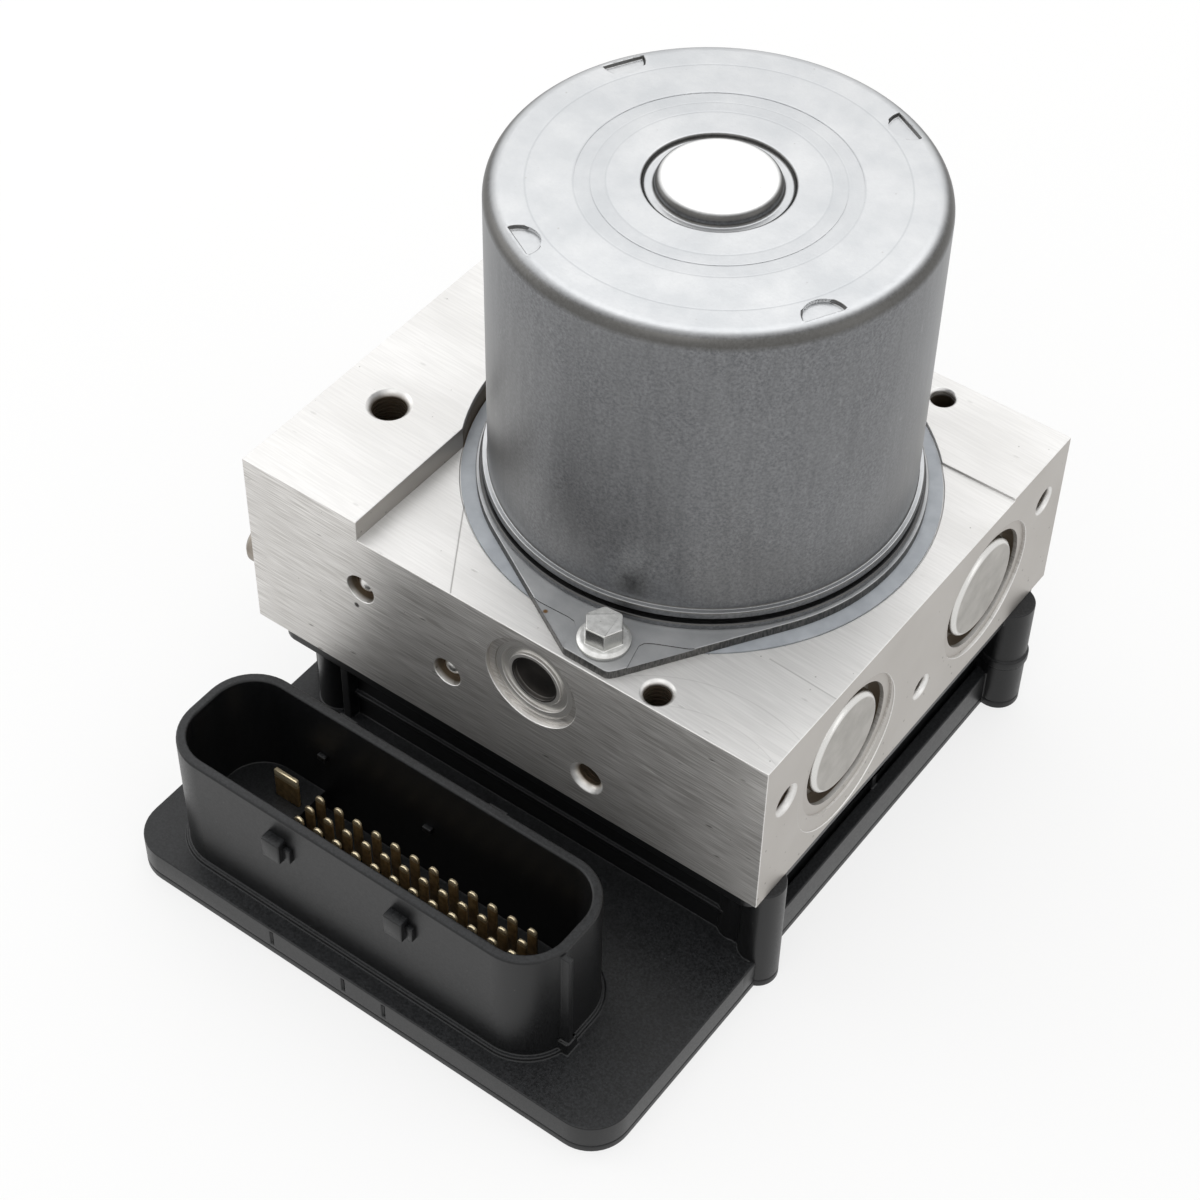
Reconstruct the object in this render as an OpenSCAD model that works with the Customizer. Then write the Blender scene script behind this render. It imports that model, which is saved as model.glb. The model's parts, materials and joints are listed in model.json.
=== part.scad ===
/* [Show] */
// Which sub part to draw, or all of them

/* [Block] */
// Width of the aluminium block, across the front
block_width = 116; // [100:1:130]
// Depth of the block, front to back
block_depth = 101; // [90:1:115]
// Height of the main top face above the bottom of the block
block_low_height = 37.2; // [34:0.1:42]
// Height of the raised bar above the bottom of the block
block_raised_height = 41.8; // [38:0.1:46]
// Width of the raised bar
raised_bar_width = 26.85; // [20:0.05:34]
// Distance from the front to the low step at the back
back_step_from_front = 80.6; // [75:0.1:86]
// Rise of the low step at the back
back_step_rise = 0.5; // [0.2:0.1:1]

/* [Motor seat] */
// Motor axis, sideways from the middle of the block
motor_x = 8; // [0:0.5:12]
// Motor axis, back from the front face of the block
motor_from_front = 52; // [48:0.5:56]
// Radius of the gasket ring
gasket_radius = 44.4; // [42:0.1:46]
// Inner radius of the gasket ring
gasket_inner_radius = 30; // [26:0.5:36]
// Thickness of the gasket ring
gasket_thickness = 0.38; // [0.3:0.02:0.8]
// Radius of the spigot that centres the motor
spigot_radius = 24; // [20:0.5:28]
// Depth of the spigot
spigot_depth = 5; // [4:0.5:7]
// Radius of the eccentric chamber
chamber_radius = 14.5; // [13:0.5:17]
// Depth of the eccentric chamber below the main top face
chamber_depth = 20; // [17:0.5:24]

/* [Motor] */
// Outer radius of the can
can_radius = 39.4; // [36:0.1:42]
// Wall of the can
can_wall = 1.8; // [1.2:0.1:2.5]
// Top of the can above the main top face
can_height = 67.7; // [60:0.1:75]
// Radius of the rounded top edge of the can
can_edge_radius = 3; // [1.5:0.1:5]
// Radius of the dome in the top of the can
dome_radius = 10.8; // [9:0.1:13]
// Height of the dome above the can
dome_rise = 1.3; // [0.5:0.1:4]
// Radius of the dished ring around the dome
dish_radius = 12.8; // [11:0.1:16]
// Depth of the dished ring
dish_depth = 0.9; // [0.4:0.1:1.4]
// Radius of a half moon dimple
dimple_radius = 3.8; // [3:0.1:5]
// Distance from the axis to the straight side of a dimple
dimple_reach = 36.6; // [34:0.1:38]
// Depth of a dimple
dimple_depth = 0.7; // [0.3:0.1:1]
// Turn of the first dimple
dimple_turn = 62; // [0:1:90]
// Radius of the rim at the bottom of the can
can_rim_radius = 41; // [40:0.1:42]
// Radius of the rolled bead
can_bead_radius = 40.5; // [39.8:0.1:41]
// Thickness of the rim
can_rim_thickness = 1.3; // [0.8:0.1:2]
// Height of the bead
bead_height = 1.5; // [1:0.1:2.5]
// Gap between rim and bead
bead_gap = 0.8; // [0.4:0.1:1.5]
// Thickness of the flange plate
flange_thickness = 2; // [1.5:0.1:3]
// Radius of the round part of the flange
flange_radius = 41.6; // [40:0.1:43]
// Radius of a bolt ear
ear_radius = 7; // [6:0.1:9]
// Distance from the motor axis to a flange bolt
flange_bolt_reach = 47.4; // [45:0.1:49]
// Direction of the front bolt
front_bolt_turn = -76; // [-90:1:-60]
// Direction of the rear bolt
rear_bolt_turn = 118; // [105:1:130]
// Radius of the shank of a flange bolt
bolt_radius = 2.5; // [2:0.1:3]
// Corner radius of the head of a flange bolt
bolt_head_radius = 3.7; // [3.4:0.05:4.2]
// Top of the head of a flange bolt above the flange
bolt_head_height = 5.1; // [4:0.1:6]
// Radius of the washer on the head
bolt_washer_radius = 4.8; // [4.4:0.1:5.5]
// Thickness of the washer at its edge
bolt_washer_thickness = 0.9; // [0.5:0.1:1.5]
// Turn of the hexagon
bolt_head_turn = 21; // [0:1:59]
// Length of the shank below the flange face
bolt_length = 13; // [10:0.5:15]
// Radius of the motor lead guide in the flange
lead_guide_radius = 3.35; // [3:0.05:4]
// Distance from the motor axis to the motor leads
lead_reach = 19.5; // [17:0.5:21]
// Distance from the middle of the guide to a lead
lead_pitch = 1.6; // [1.2:0.1:2]
// Radius of a lead
lead_radius = 0.8; // [0.5:0.05:1]
// Width of a brush
brush_width = 7; // [5:0.5:8]
// Height of a brush
brush_height = 5; // [4:0.5:6]
// Length of a brush
brush_length = 13.45; // [10:0.05:16]
// Wall of the brush box
brush_box_wall = 1.4; // [1:0.1:2]
// Gap between the front ear and the front edge of the block
ear_front_gap = 0.6; // [0.3:0.1:2]
// Length of the magnets
magnet_length = 40; // [30:1:46]
// Inner radius of the magnets
magnet_inner_radius = 31; // [29:0.1:34]
// Radius of the armature core
core_radius = 30.2; // [28:0.1:32]
// Length of the armature core
core_length = 28; // [20:1:36]
// Number of slots and of commutator bars
slot_count = 12; // [8:2:16]
// Radius of a winding slot
slot_radius = 4; // [3:0.1:5]
// Distance from the axis to the middle of a slot
slot_reach = 24.5; // [22:0.1:26]
// Radius of the shaft
shaft_radius = 4; // [3:0.1:5]
// Radius of the upper end of the shaft
shaft_top_radius = 3; // [2:0.1:4]
// Outer radius of the upper bearing
upper_bearing_radius = 9.5; // [8:0.1:10]
// Width of the upper bearing
upper_bearing_width = 6; // [5:0.5:7]
// Outer radius of the lower bearing
lower_bearing_radius = 11; // [10:0.1:12]
// Radius of the commutator
commutator_radius = 10.5; // [9:0.1:12]
// Length of the commutator
commutator_length = 10; // [8:0.5:12]
// Eccentric throw, half of the pump stroke
eccentric_throw = 0.6; // [0.4:0.05:1]
// Radius of the eccentric
eccentric_radius = 7; // [6:0.1:8]
// Outer radius of the eccentric bearing
eccentric_bearing_radius = 11; // [10:0.1:12]
// Width of the eccentric bearing
eccentric_bearing_width = 7; // [6:0.5:9]

/* [Pump] */
// Height of the pump axis above the bottom of the block
pump_height = 25.5; // [23:0.1:27]
// Radius of the pump piston
pump_piston_radius = 3.2; // [2.5:0.1:4]
// Outer radius of the pump sleeve
pump_sleeve_radius = 6.5; // [6:0.1:7]
// Radius of the pump plug
pump_plug_radius = 8.6; // [8:0.1:9.5]
// Radius of the shallow seat around the plug
pump_seat_radius = 10; // [9.5:0.1:11]
// Depth of the shallow seat
pump_seat_depth = 0.9; // [0.5:0.1:1.5]
// Depth of the plug face below the block face
pump_plug_sink = 1.1; // [0.5:0.1:2]
// Length of the front pump plug
front_plug_length = 15.05; // [12:0.05:18]
// Length of the rear pump plug
rear_plug_length = 12.05; // [10:0.05:15]
// Room behind a pump piston at the end of its stroke
piston_end_room = 3; // [2:0.1:5]
// Radius of the dish in the plug
pump_dish_radius = 4.65; // [4:0.05:5.5]
// Wire of the pump spring
pump_spring_wire = 0.7; // [0.5:0.1:1]
// Mean radius of the pump spring
pump_spring_radius = 2.4; // [2:0.1:2.6]

/* [Accumulators] */
// Near accumulator, back from the front face
near_accumulator_from_front = 27.3; // [25:0.1:30]
// Far accumulator, in from the back face
far_accumulator_from_back = 26.7; // [24:0.1:29]
// Height of both accumulators above the bottom of the block
accumulator_height = 18.7; // [17:0.1:20]
// Radius of the shallow seat around a cap
cap_seat_radius = 14.4; // [13:0.1:15.5]
// Depth of the shallow seat
cap_seat_depth = 0.7; // [0.4:0.1:1.2]
// Radius of the bore that holds a cap
cap_bore_radius = 12.4; // [12:0.1:13]
// Depth of the groove around the cap face
cap_groove_depth = 3.6; // [2:0.1:5]
// Radius of the round cap face
cap_face_radius = 10.3; // [9.5:0.1:11]
// Rounding of the cap face
cap_edge_radius = 1.3; // [0.5:0.1:2]
// Depth of the cap face below the block face
cap_sink = 0.5; // [0.2:0.1:1.5]
// Thickness of the cap flange
cap_flange_thickness = 1.8; // [1:0.1:2.5]
// Radius of the piston bore
accumulator_radius = 10; // [9:0.1:10.5]
// Room between the cap and the piston at the end of its travel
accumulator_end_room = 5.8; // [4:0.1:8]
// Length of the accumulator piston
accumulator_piston_length = 10; // [8:0.5:12]
// Travel of the accumulator piston
accumulator_travel = 9; // [6:0.5:11]
// Wire of the accumulator spring
accumulator_spring_wire = 1.5; // [1:0.1:2]
// Mean radius of the accumulator spring
accumulator_spring_radius = 6; // [5:0.1:7]

/* [Valves] */
// Sideways place of the inlet valves
inlet_x = -20; // [-22:0.5:-19]
// Sideways place of the outlet valves
outlet_x = -37; // [-38:0.5:-36]
// Front two valves of a row, back from the front face
valve_from_front = [19, 36.5];
// Rear two valves of a row, in from the back face
valve_from_back = [35.5, 18];
// Radius of the valve seat flange
valve_flange_radius = 5.4; // [5:0.1:6]
// Thickness of the valve seat flange
valve_flange_thickness = 3; // [2:0.1:4]
// Radius of the valve cartridge
valve_body_radius = 4.2; // [3.8:0.1:4.6]
// Depth of the valve cartridge in the block
valve_depth = 19; // [15:0.5:21]
// Radius of the valve tube inside the coil
valve_tube_radius = 3; // [2.5:0.1:3.5]
// Length of the valve tube below the block
valve_tube_length = 18.5; // [16:0.5:20]
// Radius of a coil
coil_radius = 7; // [6:0.1:8]
// Length of a coil
coil_length = 13; // [10:0.5:15]
// Wall of a coil case
coil_case_wall = 1; // [0.6:0.1:1.5]

/* [Holes of the block] */
// Thread radius of the large hole in the raised bar
large_thread_radius = 3.4; // [3:0.05:4]
// Chamfer radius of the large hole
large_chamfer_radius = 4.4; // [4:0.05:5]
// Wall radius of the small threaded holes
small_thread_radius = 2.5; // [2.2:0.05:3]
// Chamfer radius of the small threaded holes
small_chamfer_radius = 3.4; // [3:0.05:4]
// Depth of the threaded holes
thread_depth = 14; // [10:0.5:16]
// Pitch of the modelled thread rings
thread_ring_pitch = 1; // [0.8:0.05:1.5]
// Depth of the modelled thread rings
thread_ring_depth = 0.45; // [0.2:0.05:0.6]
// Wall radius of the four wheel ports
wheel_port_radius = 4.5; // [4:0.05:5]
// Wall radius of the two supply ports
supply_port_radius = 5.5; // [5:0.05:6]
// Depth of a port
port_depth = 11; // [9:0.5:12]
// Radius of a plugged drilling
plug_bore_radius = 2.4; // [2:0.05:3]
// Radius of the seat of a ball plug
plug_seat_radius = 3.1; // [2.8:0.05:3.5]
// Depth of the seat of a ball plug
plug_seat_depth = 2.2; // [1.5:0.1:3]
// Depth of a plugged drilling
plug_bore_depth = 34; // [20:1:40]

// First ball plug, sideways from the middle of the block
first_plug_x = -31.1; // [-34:0.1:-28]
// First ball plug, above the bottom of the block
first_plug_height = 24.4; // [22:0.1:27]
// Second ball plug, sideways from the middle of the block
second_plug_x = -11.2; // [-13:0.1:-9]
// Second ball plug, above the bottom of the block
second_plug_height = 15.3; // [13:0.1:17]
// First wheel port, back from the front face
first_port_from_front = 44; // [42:0.5:46]
// Last wheel port, in from the back face
last_port_from_back = 9; // [8:0.5:12]
// Height of the wheel ports above the bottom of the block
wheel_port_height = 30.5; // [28:0.1:31]
// Small hole of the right face, behind the middle of the two accumulators
middle_hole_shift = 2.3; // [0:0.1:4]

/* [Side pin] */
// Radius of the side pin
side_pin_radius = 4.2; // [3.5:0.1:5]
// How far the side pin stands out
side_pin_reach = 3.4; // [2:0.1:5]
// Depth of the side pin in the block
side_pin_depth = 7; // [5:0.5:9]
// Side pin, back from the front face
side_pin_from_front = 4.9; // [4.5:0.1:7]
// Side pin above the bottom of the block
side_pin_height = 14.8; // [12:0.1:18]

/* [Controller housing] */
// Height of the housing with its cover
housing_height = 27.5; // [25:0.1:30]
// How far the shelf stands out in front of the block
shelf_reach = 45; // [40:0.5:50]
// Top of the shelf above the bottom
shelf_height = 7.4; // [6.5:0.1:9]
// Thickness of the plastic skin
skin = 2; // [1.5:0.1:2.5]
// Thickness of the cover
cover_thickness = 1.8; // [1.2:0.1:2.5]
// Rounding of the corners of the shelf
shelf_corner_radius = 8; // [5:0.5:12]
// Left edge of the shelf
shelf_left = -54; // [-56:0.1:-52]
// Right edge of the shelf in front
shelf_right = 57.6; // [56:0.1:58]
// Right edge of the base behind the near column
base_right = 55.6; // [54:0.1:57]
// Back edge of the base, in from the back face of the block
base_back_inset = 2; // [1:0.1:4]
// Thickness of the lip under the block
lip_thickness = 2.9; // [2:0.1:4]
// Inset of the lip from the block at the left
lip_left_inset = 4.5; // [3:0.1:6]
// Inset of the lip from the block on the other sides
lip_inset = 0.6; // [0.3:0.1:2]
// Left side of the wall under the lip
wall_left = -47.5; // [-50:0.1:-44]
// Right side of the wall under the lip
wall_right = 52.4; // [50:0.1:54]
// Front of the wall under the lip, back from the block face
wall_front_inset = 5; // [3:0.1:8]
// Back of the wall under the lip, in from the block face
wall_back_inset = 4; // [3:0.1:8]
// Radius of the near column
near_column_radius = 4; // [3:0.1:5]
// Radius of the far column
far_column_radius = 4.5; // [4:0.1:6]
// Radius of the left columns
left_column_radius = 4; // [3:0.1:5]
// Thickness of the circuit board
board_thickness = 1.6; // [1:0.1:2]
// Gap between the cover and the board
board_lift = 0.3; // [0.1:0.1:1]

/* [Connector] */
// Left end of the shroud
shroud_left = -47.1; // [-49:0.1:-45]
// Right end of the shroud
shroud_right = 40.5; // [39:0.1:42]
// Front of the shroud, in from the front of the shelf
shroud_inset = 4.4; // [3:0.1:6]
// Depth of the shroud
shroud_depth = 25.5; // [24:0.1:27]
// Top of the shroud
shroud_top = 36.2; // [34:0.1:38]
// Rounding of the shroud
shroud_radius = 10; // [8:0.1:12]
// Wall of the shroud
shroud_wall = 2; // [1.5:0.1:2.5]
// Foot around the shroud
shroud_foot = 0.8; // [0.4:0.1:1.5]
// Number of pins in a row
pins_in_row = 12; // [8:1:14]
// Number of pin rows
pin_rows = 3; // [2:1:4]
// Distance between pins along a row
pin_pitch = 4.53; // [4:0.01:5]
// Distance between rows
pin_row_pitch = 2.95; // [2.5:0.05:3.5]
// First pin, sideways
pin_x = -24.2; // [-26:0.1:-22]
// Rearmost row of pins, in front of the back of the shroud
pin_inset = 7.5; // [6:0.1:9]
// Top of the pins
pin_top = 19; // [16:0.1:22]
// Width of a pin
pin_width = 1; // [0.6:0.05:1.2]
// Width of the power blade
blade_width = 5.6; // [4:0.1:7]
// Thickness of the power blade
blade_thickness = 0.8; // [0.5:0.05:1.2]
// Middle of the power blade, sideways
blade_x = -32.4; // [-34:0.1:-30]
// Raised floor around the blade
blade_floor_height = 12.5; // [10:0.1:14]

/* [Fits] */
// Clearance of pieces that are pressed or bonded
press_gap = 0.01; // [0.005:0.005:0.02]
// Clearance of pieces that are laid in place
laid_gap = 0.02; // [0.01:0.01:0.05]
// Running clearance of the pistons and of the shaft
running_gap = 0.02; // [0.01:0.01:0.05]
// Gap between the eccentric bearing and a pump piston
contact_gap = 0.05; // [0.02:0.01:0.1]

/* [Hidden] */
$fn = 36;
eps = 0.01;
bx0 = -block_width / 2;
bx1 = block_width / 2;
by0 = -(block_depth + shelf_reach) / 2 + shelf_reach;
by1 = by0 + block_depth;
bz0 = housing_height;
shelf_y0 = by0 - shelf_reach;
top_z = bz0 + block_low_height;
bar_z = bz0 + block_raised_height;
bar_x = bx0 + raised_bar_width;
step_y = by0 + back_step_from_front;
my = by0 + motor_from_front;
pump_z = bz0 + pump_height;
acc_z = bz0 + accumulator_height;
near_y = by0 + near_accumulator_from_front;
far_y = by1 - far_accumulator_from_back;
valve_places = [by0 + valve_from_front[0], by0 + valve_from_front[1],
  by1 - valve_from_back[0], by1 - valve_from_back[1]];
port_pitch = (block_depth - first_port_from_front - last_port_from_back) / 3;
ball_plug_places = [[first_plug_x, first_plug_height], [second_plug_x, second_plug_height]];
base_back = by1 - base_back_inset;
shroud_front = shelf_y0 + shroud_inset;
shroud_back = shroud_front + shroud_depth;
pin_y = shroud_back - pin_inset;
plate_z = top_z + flange_thickness;
can_top = top_z + can_height;
can_inner = can_radius - can_wall;
can_roof = can_top - can_wall;
bearing_seat_top = can_top + dome_rise - 1.2;
upper_bearing_z = bearing_seat_top - press_gap - upper_bearing_width;
lower_bearing_z = top_z - spigot_depth;
magnet_z = top_z + 14;
core_z = top_z + 20;
end_winding = 5;
commutator_z = top_z + 4.2;
brush_z = commutator_z + 2;
chamber_z = top_z - chamber_depth;
shaft_bottom = chamber_z + 2.5;
bearing_reach = eccentric_throw + eccentric_bearing_radius;
piston_start = bearing_reach + contact_gap;
sleeve_start = chamber_radius + 2;
front_reach = motor_from_front;
rear_reach = block_depth - motor_from_front;
front_sleeve_end = front_reach - pump_plug_sink - front_plug_length;
rear_sleeve_end = rear_reach - pump_plug_sink - rear_plug_length;
spring_room = 3.5;
groove_x = bx1 - cap_seat_depth - cap_groove_depth + 0.4;
cap_flange_x = groove_x - cap_flange_thickness;
cap_face_x = bx1 - cap_sink;
piston_x0 = cap_flange_x - accumulator_end_room - accumulator_travel - accumulator_piston_length;
acc_x0 = piston_x0 - 0.5;
piston_floor = piston_x0 + 4.2;
cap_inside_x = cap_face_x - 1.6;
left_screw_x = wall_left + 3;
right_screw_x = wall_right - 2.4;
screw_places = [[left_screw_x, by0 + 6.5], [right_screw_x, by0 + 8],
  [left_screw_x, by1 - 6.5], [right_screw_x, by1 - 9]];
screw_boss_radius = 4;
column_radii = [left_column_radius, near_column_radius, left_column_radius, far_column_radius];
near_column_x = bx1 - 2.2;
far_column_x = bx1 - 1.5;
column_places = [[left_screw_x, by0 + 6.5], [near_column_x, by0 + 6.2],
  [left_screw_x, by1 - 6.5], [far_column_x, by1 - 9.4]];
lead_x = motor_x - lead_reach;
coin_points = [[-6.3, 13.7], [-4.2, 9.3], [-2.9, 3.2], [-2.4, 1.8], [-1.4, 1.1], [9, 1.1], [9, 24], [-6.3, 24]];
brush_start = commutator_radius + 0.05;
brush_box_start = commutator_radius + 2.5;
brush_box_end = brush_start + brush_length + 7;
board_z = cover_thickness + board_lift;
lip_z = housing_height - lip_thickness;

// a box from one corner to the opposite corner
module box(a, b) {
  translate(a) cube([b[0] - a[0], b[1] - a[1], b[2] - a[2]]);
}

// a flat rectangle with four round corners, built from squares and circles
module round_rect(x0, x1, y0, y1, r) {
  translate([x0 + r, y0]) square([x1 - x0 - 2 * r, y1 - y0]);
  translate([x0, y0 + r]) square([x1 - x0, y1 - y0 - 2 * r]);
  for (x = [x0 + r, x1 - r])
    for (y = [y0 + r, y1 - r])
      translate([x, y]) circle(r);
}

// a cylinder along +X from a start point
module rod_x(p, length, r) {
  translate(p) rotate([0, 90, 0]) cylinder(h = length, r = r);
}

// a cylinder along +Y from a start point
module rod_y(p, length, r) {
  translate(p) rotate([-90, 0, 0]) cylinder(h = length, r = r);
}

// a threaded hole that runs down from the origin, with a chamfer and ring grooves
module thread_hole(r, chamfer_r, depth, rings) {
  translate([0, 0, -depth]) cylinder(h = depth + 1, r = r);
  translate([0, 0, -depth - r * 0.5]) cylinder(h = r * 0.5 + eps, r1 = 0, r2 = r);
  translate([0, 0, r - chamfer_r]) cylinder(h = chamfer_r - r + eps, r1 = r, r2 = chamfer_r + eps);
  for (i = [1 : rings])
    translate([0, 0, r - chamfer_r - i * thread_ring_pitch])
      cylinder(h = thread_ring_pitch * 0.5, r = r + thread_ring_depth);
}

// a round wire spring as a swept tube along +Z, closed at both ends
function spring_point(i, k, turns, steps, length, wire, radius) =
  let (t = i / (turns * steps), w = (length - wire) * t + wire / 2, q = i * 360 / steps)
  [(radius + wire / 2 * cos(k * 60)) * cos(q), (radius + wire / 2 * cos(k * 60)) * sin(q),
    w + wire / 2 * sin(k * 60)];

module coil_spring(length, wire, radius, turns, steps) {
  n = turns * steps;
  points = [for (i = [0 : n]) for (k = [0 : 5])
    spring_point(i, k, turns, steps, length, wire, radius)];
  sides = [for (i = [0 : n - 1]) for (k = [0 : 5])
    [i * 6 + k, i * 6 + (k + 1) % 6, (i + 1) * 6 + (k + 1) % 6, (i + 1) * 6 + k]];
  ends = [[5, 4, 3, 2, 1, 0], [for (k = [0 : 5]) n * 6 + k]];
  polyhedron(points, concat(sides, ends));
}

// the flat outline of the motor flange, grown by an amount
module flange_outline(grow) {
  r = flange_radius + grow;
  e = ear_radius + grow;
  a = acos((r - e) / flange_bolt_reach);
  intersection() {
    union() {
      circle(r);
      for (turn = [front_bolt_turn, rear_bolt_turn])
        rotate(turn) {
          translate([flange_bolt_reach, 0]) circle(e);
          polygon([[0, 0], [r * cos(a), r * sin(a)],
            [flange_bolt_reach + e * cos(a), e * sin(a)],
            [flange_bolt_reach + e * cos(a), -e * sin(a)], [r * cos(a), -r * sin(a)]]);
        }
    }
    translate([-80, ear_front_gap - grow * 10 - motor_from_front])
      square([160, block_depth - 2 * ear_front_gap + grow * 20]);
  }
}

// a pump bore along one direction, from the motor axis out to the face
module pump_bore(reach, sleeve_end) {
  translate([0, 0, chamber_radius - 2])
    cylinder(h = sleeve_end - chamber_radius + 2, r = pump_sleeve_radius);
  translate([0, 0, sleeve_end]) cylinder(h = reach - sleeve_end + 1, r = pump_plug_radius);
  translate([0, 0, reach - pump_seat_depth]) cylinder(h = 2, r = pump_seat_radius);
}

// pump pieces are drawn along +Z from the motor axis and laid along the bore
module to_front() {
  translate([motor_x, my, pump_z]) rotate([90, 0, 0]) children();
}

module to_rear() {
  translate([motor_x, my, pump_z]) rotate([-90, 0, 0]) children();
}

module valve_bore() {
  translate([0, 0, -1]) cylinder(h = valve_flange_thickness + 1, r = valve_flange_radius);
  cylinder(h = valve_depth + 0.5, r = valve_body_radius);
}

module block_body() {
  difference() {
    union() {
      box([bx0, by0, bz0], [bx1, by1, top_z]);
      box([bx0, by0, bz0], [bar_x, by1, bar_z]);
      box([bar_x - eps, step_y, bz0], [bx1, by1, top_z + back_step_rise]);
    }
    translate([motor_x, my, top_z]) cylinder(h = 10, r = gasket_radius + 0.2);
    translate([motor_x, my, top_z]) linear_extrude(height = 10) flange_outline(1);
    translate([motor_x, my, top_z - gasket_thickness - laid_gap])
      cylinder(h = 10, r = gasket_radius + 0.2);
  }
}

module valve_block() {
  color([0.84, 0.84, 0.83]) difference() {
    block_body();
    translate([motor_x, my, lower_bearing_z - 0.3]) cylinder(h = 10, r = spigot_radius + press_gap);
    translate([motor_x, my, chamber_z]) cylinder(h = 20, r = chamber_radius);
    for (turn = [front_bolt_turn, rear_bolt_turn])
      translate([motor_x, my, 0]) rotate(turn) translate([flange_bolt_reach, 0, top_z - 12.5])
        cylinder(h = 20, r = bolt_radius + laid_gap);
    to_front() pump_bore(front_reach, front_sleeve_end);
    to_rear() pump_bore(rear_reach, rear_sleeve_end);
    translate([lead_x, my, bz0 - 1]) cylinder(h = block_low_height, r = 4);
    for (y = [near_y, far_y]) {
      rod_x([acc_x0, y, acc_z], bx1 - acc_x0 + 1, accumulator_radius);
      rod_x([cap_flange_x - laid_gap, y, acc_z], 20, cap_bore_radius);
      rod_x([bx1 - cap_seat_depth, y, acc_z], 5, cap_seat_radius);
    }
    rod_x([bx1 - 0.25, near_y - 0.3, acc_z - 2.2], 5, 15.7);
    for (y = valve_places)
      for (x = [inlet_x, outlet_x])
        translate([x, y, bz0]) valve_bore();
    // top face holes
    translate([-46, by0 + 27.4, bar_z])
      thread_hole(large_thread_radius, large_chamfer_radius, thread_depth + 1, 9);
    translate([32.7, by0 + 3.6, top_z])
      thread_hole(small_thread_radius, 3.15, thread_depth, 7);
    translate([33.1, by1 - 5.2, top_z + back_step_rise])
      thread_hole(2.4, 2.8, thread_depth - 2, 1);
    // front face holes
    translate([20.5, by0, bz0 + 8.2]) rotate([90, 0, 0])
      thread_hole(small_thread_radius, 3.7, thread_depth, 7);
    for (p = ball_plug_places) {
      rod_y([p[0], by0 - 1, bz0 + p[1]], plug_bore_depth + 1, plug_bore_radius);
      rod_y([p[0], by0 - 1, bz0 + p[1]], plug_seat_depth + 1, plug_seat_radius);
    }
    // right face holes
    translate([bx1, by0 + 7, bz0 + 23.5]) rotate([0, 90, 0])
      thread_hole(small_thread_radius, small_chamfer_radius, thread_depth, 7);
    translate([bx1, (near_y + far_y) / 2 + middle_hole_shift, bz0 + 10.6]) rotate([0, 90, 0])
      thread_hole(2.1, 2.8, 8, 1);
    translate([bx1, by1 - 7.1, bz0 + 26.5]) rotate([0, 90, 0])
      thread_hole(small_thread_radius, 3.1, thread_depth - 2, 5);
    // ports on the left face and on the back face
    for (i = [0 : 3])
      translate([bx0, by0 + first_port_from_front + i * port_pitch, bz0 + wheel_port_height])
        rotate([0, -90, 0])
          thread_hole(wheel_port_radius, 5.6, port_depth, 5);
    for (x = [-33, -8])
      translate([x, by1, bz0 + 16.5]) rotate([-90, 0, 0])
        thread_hole(supply_port_radius, 6.6, port_depth - 1, 5);
    // side pin and controller screws
    rod_x([bx0 - 1, by0 + side_pin_from_front, bz0 + side_pin_height], side_pin_depth + 1.2,
      side_pin_radius + press_gap);
    for (p = screw_places)
      translate([p[0], p[1], bz0 - 1]) cylinder(h = 10, r = 2 + laid_gap);
  }
}

module side_pin() {
  y = by0 + side_pin_from_front;
  z = bz0 + side_pin_height;
  color([0.62, 0.60, 0.57]) {
    rod_x([bx0 - side_pin_reach + 1, y, z], side_pin_reach - 1 + side_pin_depth, side_pin_radius);
    translate([bx0 - side_pin_reach + 1, y, z]) rotate([0, -90, 0])
      cylinder(h = 1, r1 = side_pin_radius, r2 = side_pin_radius - 0.9);
  }
}

module ball_plugs() {
  color([0.8, 0.8, 0.8])
    for (p = ball_plug_places)
      translate([p[0], by0 + plug_seat_depth + plug_bore_radius * 0.5, bz0 + p[1]])
        sphere(plug_bore_radius - press_gap);
}

module motor_gasket() {
  color([0.55, 0.58, 0.62]) translate([motor_x, my, top_z - gasket_thickness - laid_gap])
    difference() {
      cylinder(h = gasket_thickness, r = gasket_radius);
      translate([0, 0, -1]) cylinder(h = 3, r = gasket_inner_radius);
    }
}

module motor_flange() {
  color([0.58, 0.59, 0.6]) translate([motor_x, my, 0]) difference() {
    union() {
      translate([0, 0, top_z]) linear_extrude(height = flange_thickness) flange_outline(0);
      translate([0, 0, lower_bearing_z]) cylinder(h = spigot_depth + 1, r = spigot_radius);
    }
    translate([0, 0, lower_bearing_z - 1]) cylinder(h = 20, r = lower_bearing_radius + press_gap);
    for (turn = [front_bolt_turn, rear_bolt_turn])
      rotate(turn) translate([flange_bolt_reach, 0, top_z - 1])
        cylinder(h = 5, r = bolt_radius + 0.25);
    translate([-lead_reach, 0, lower_bearing_z - 1])
      cylinder(h = 20, r = lead_guide_radius + 0.05);
    // coined steps either side of the front bolt
    rotate(front_bolt_turn) for (s = [-1, 1])
      translate([0, 0, plate_z - 0.2]) linear_extrude(height = 1)
        polygon([for (p = coin_points) [flange_bolt_reach + p[0], s * (bolt_washer_radius + p[1])]]);
  }
}

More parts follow.
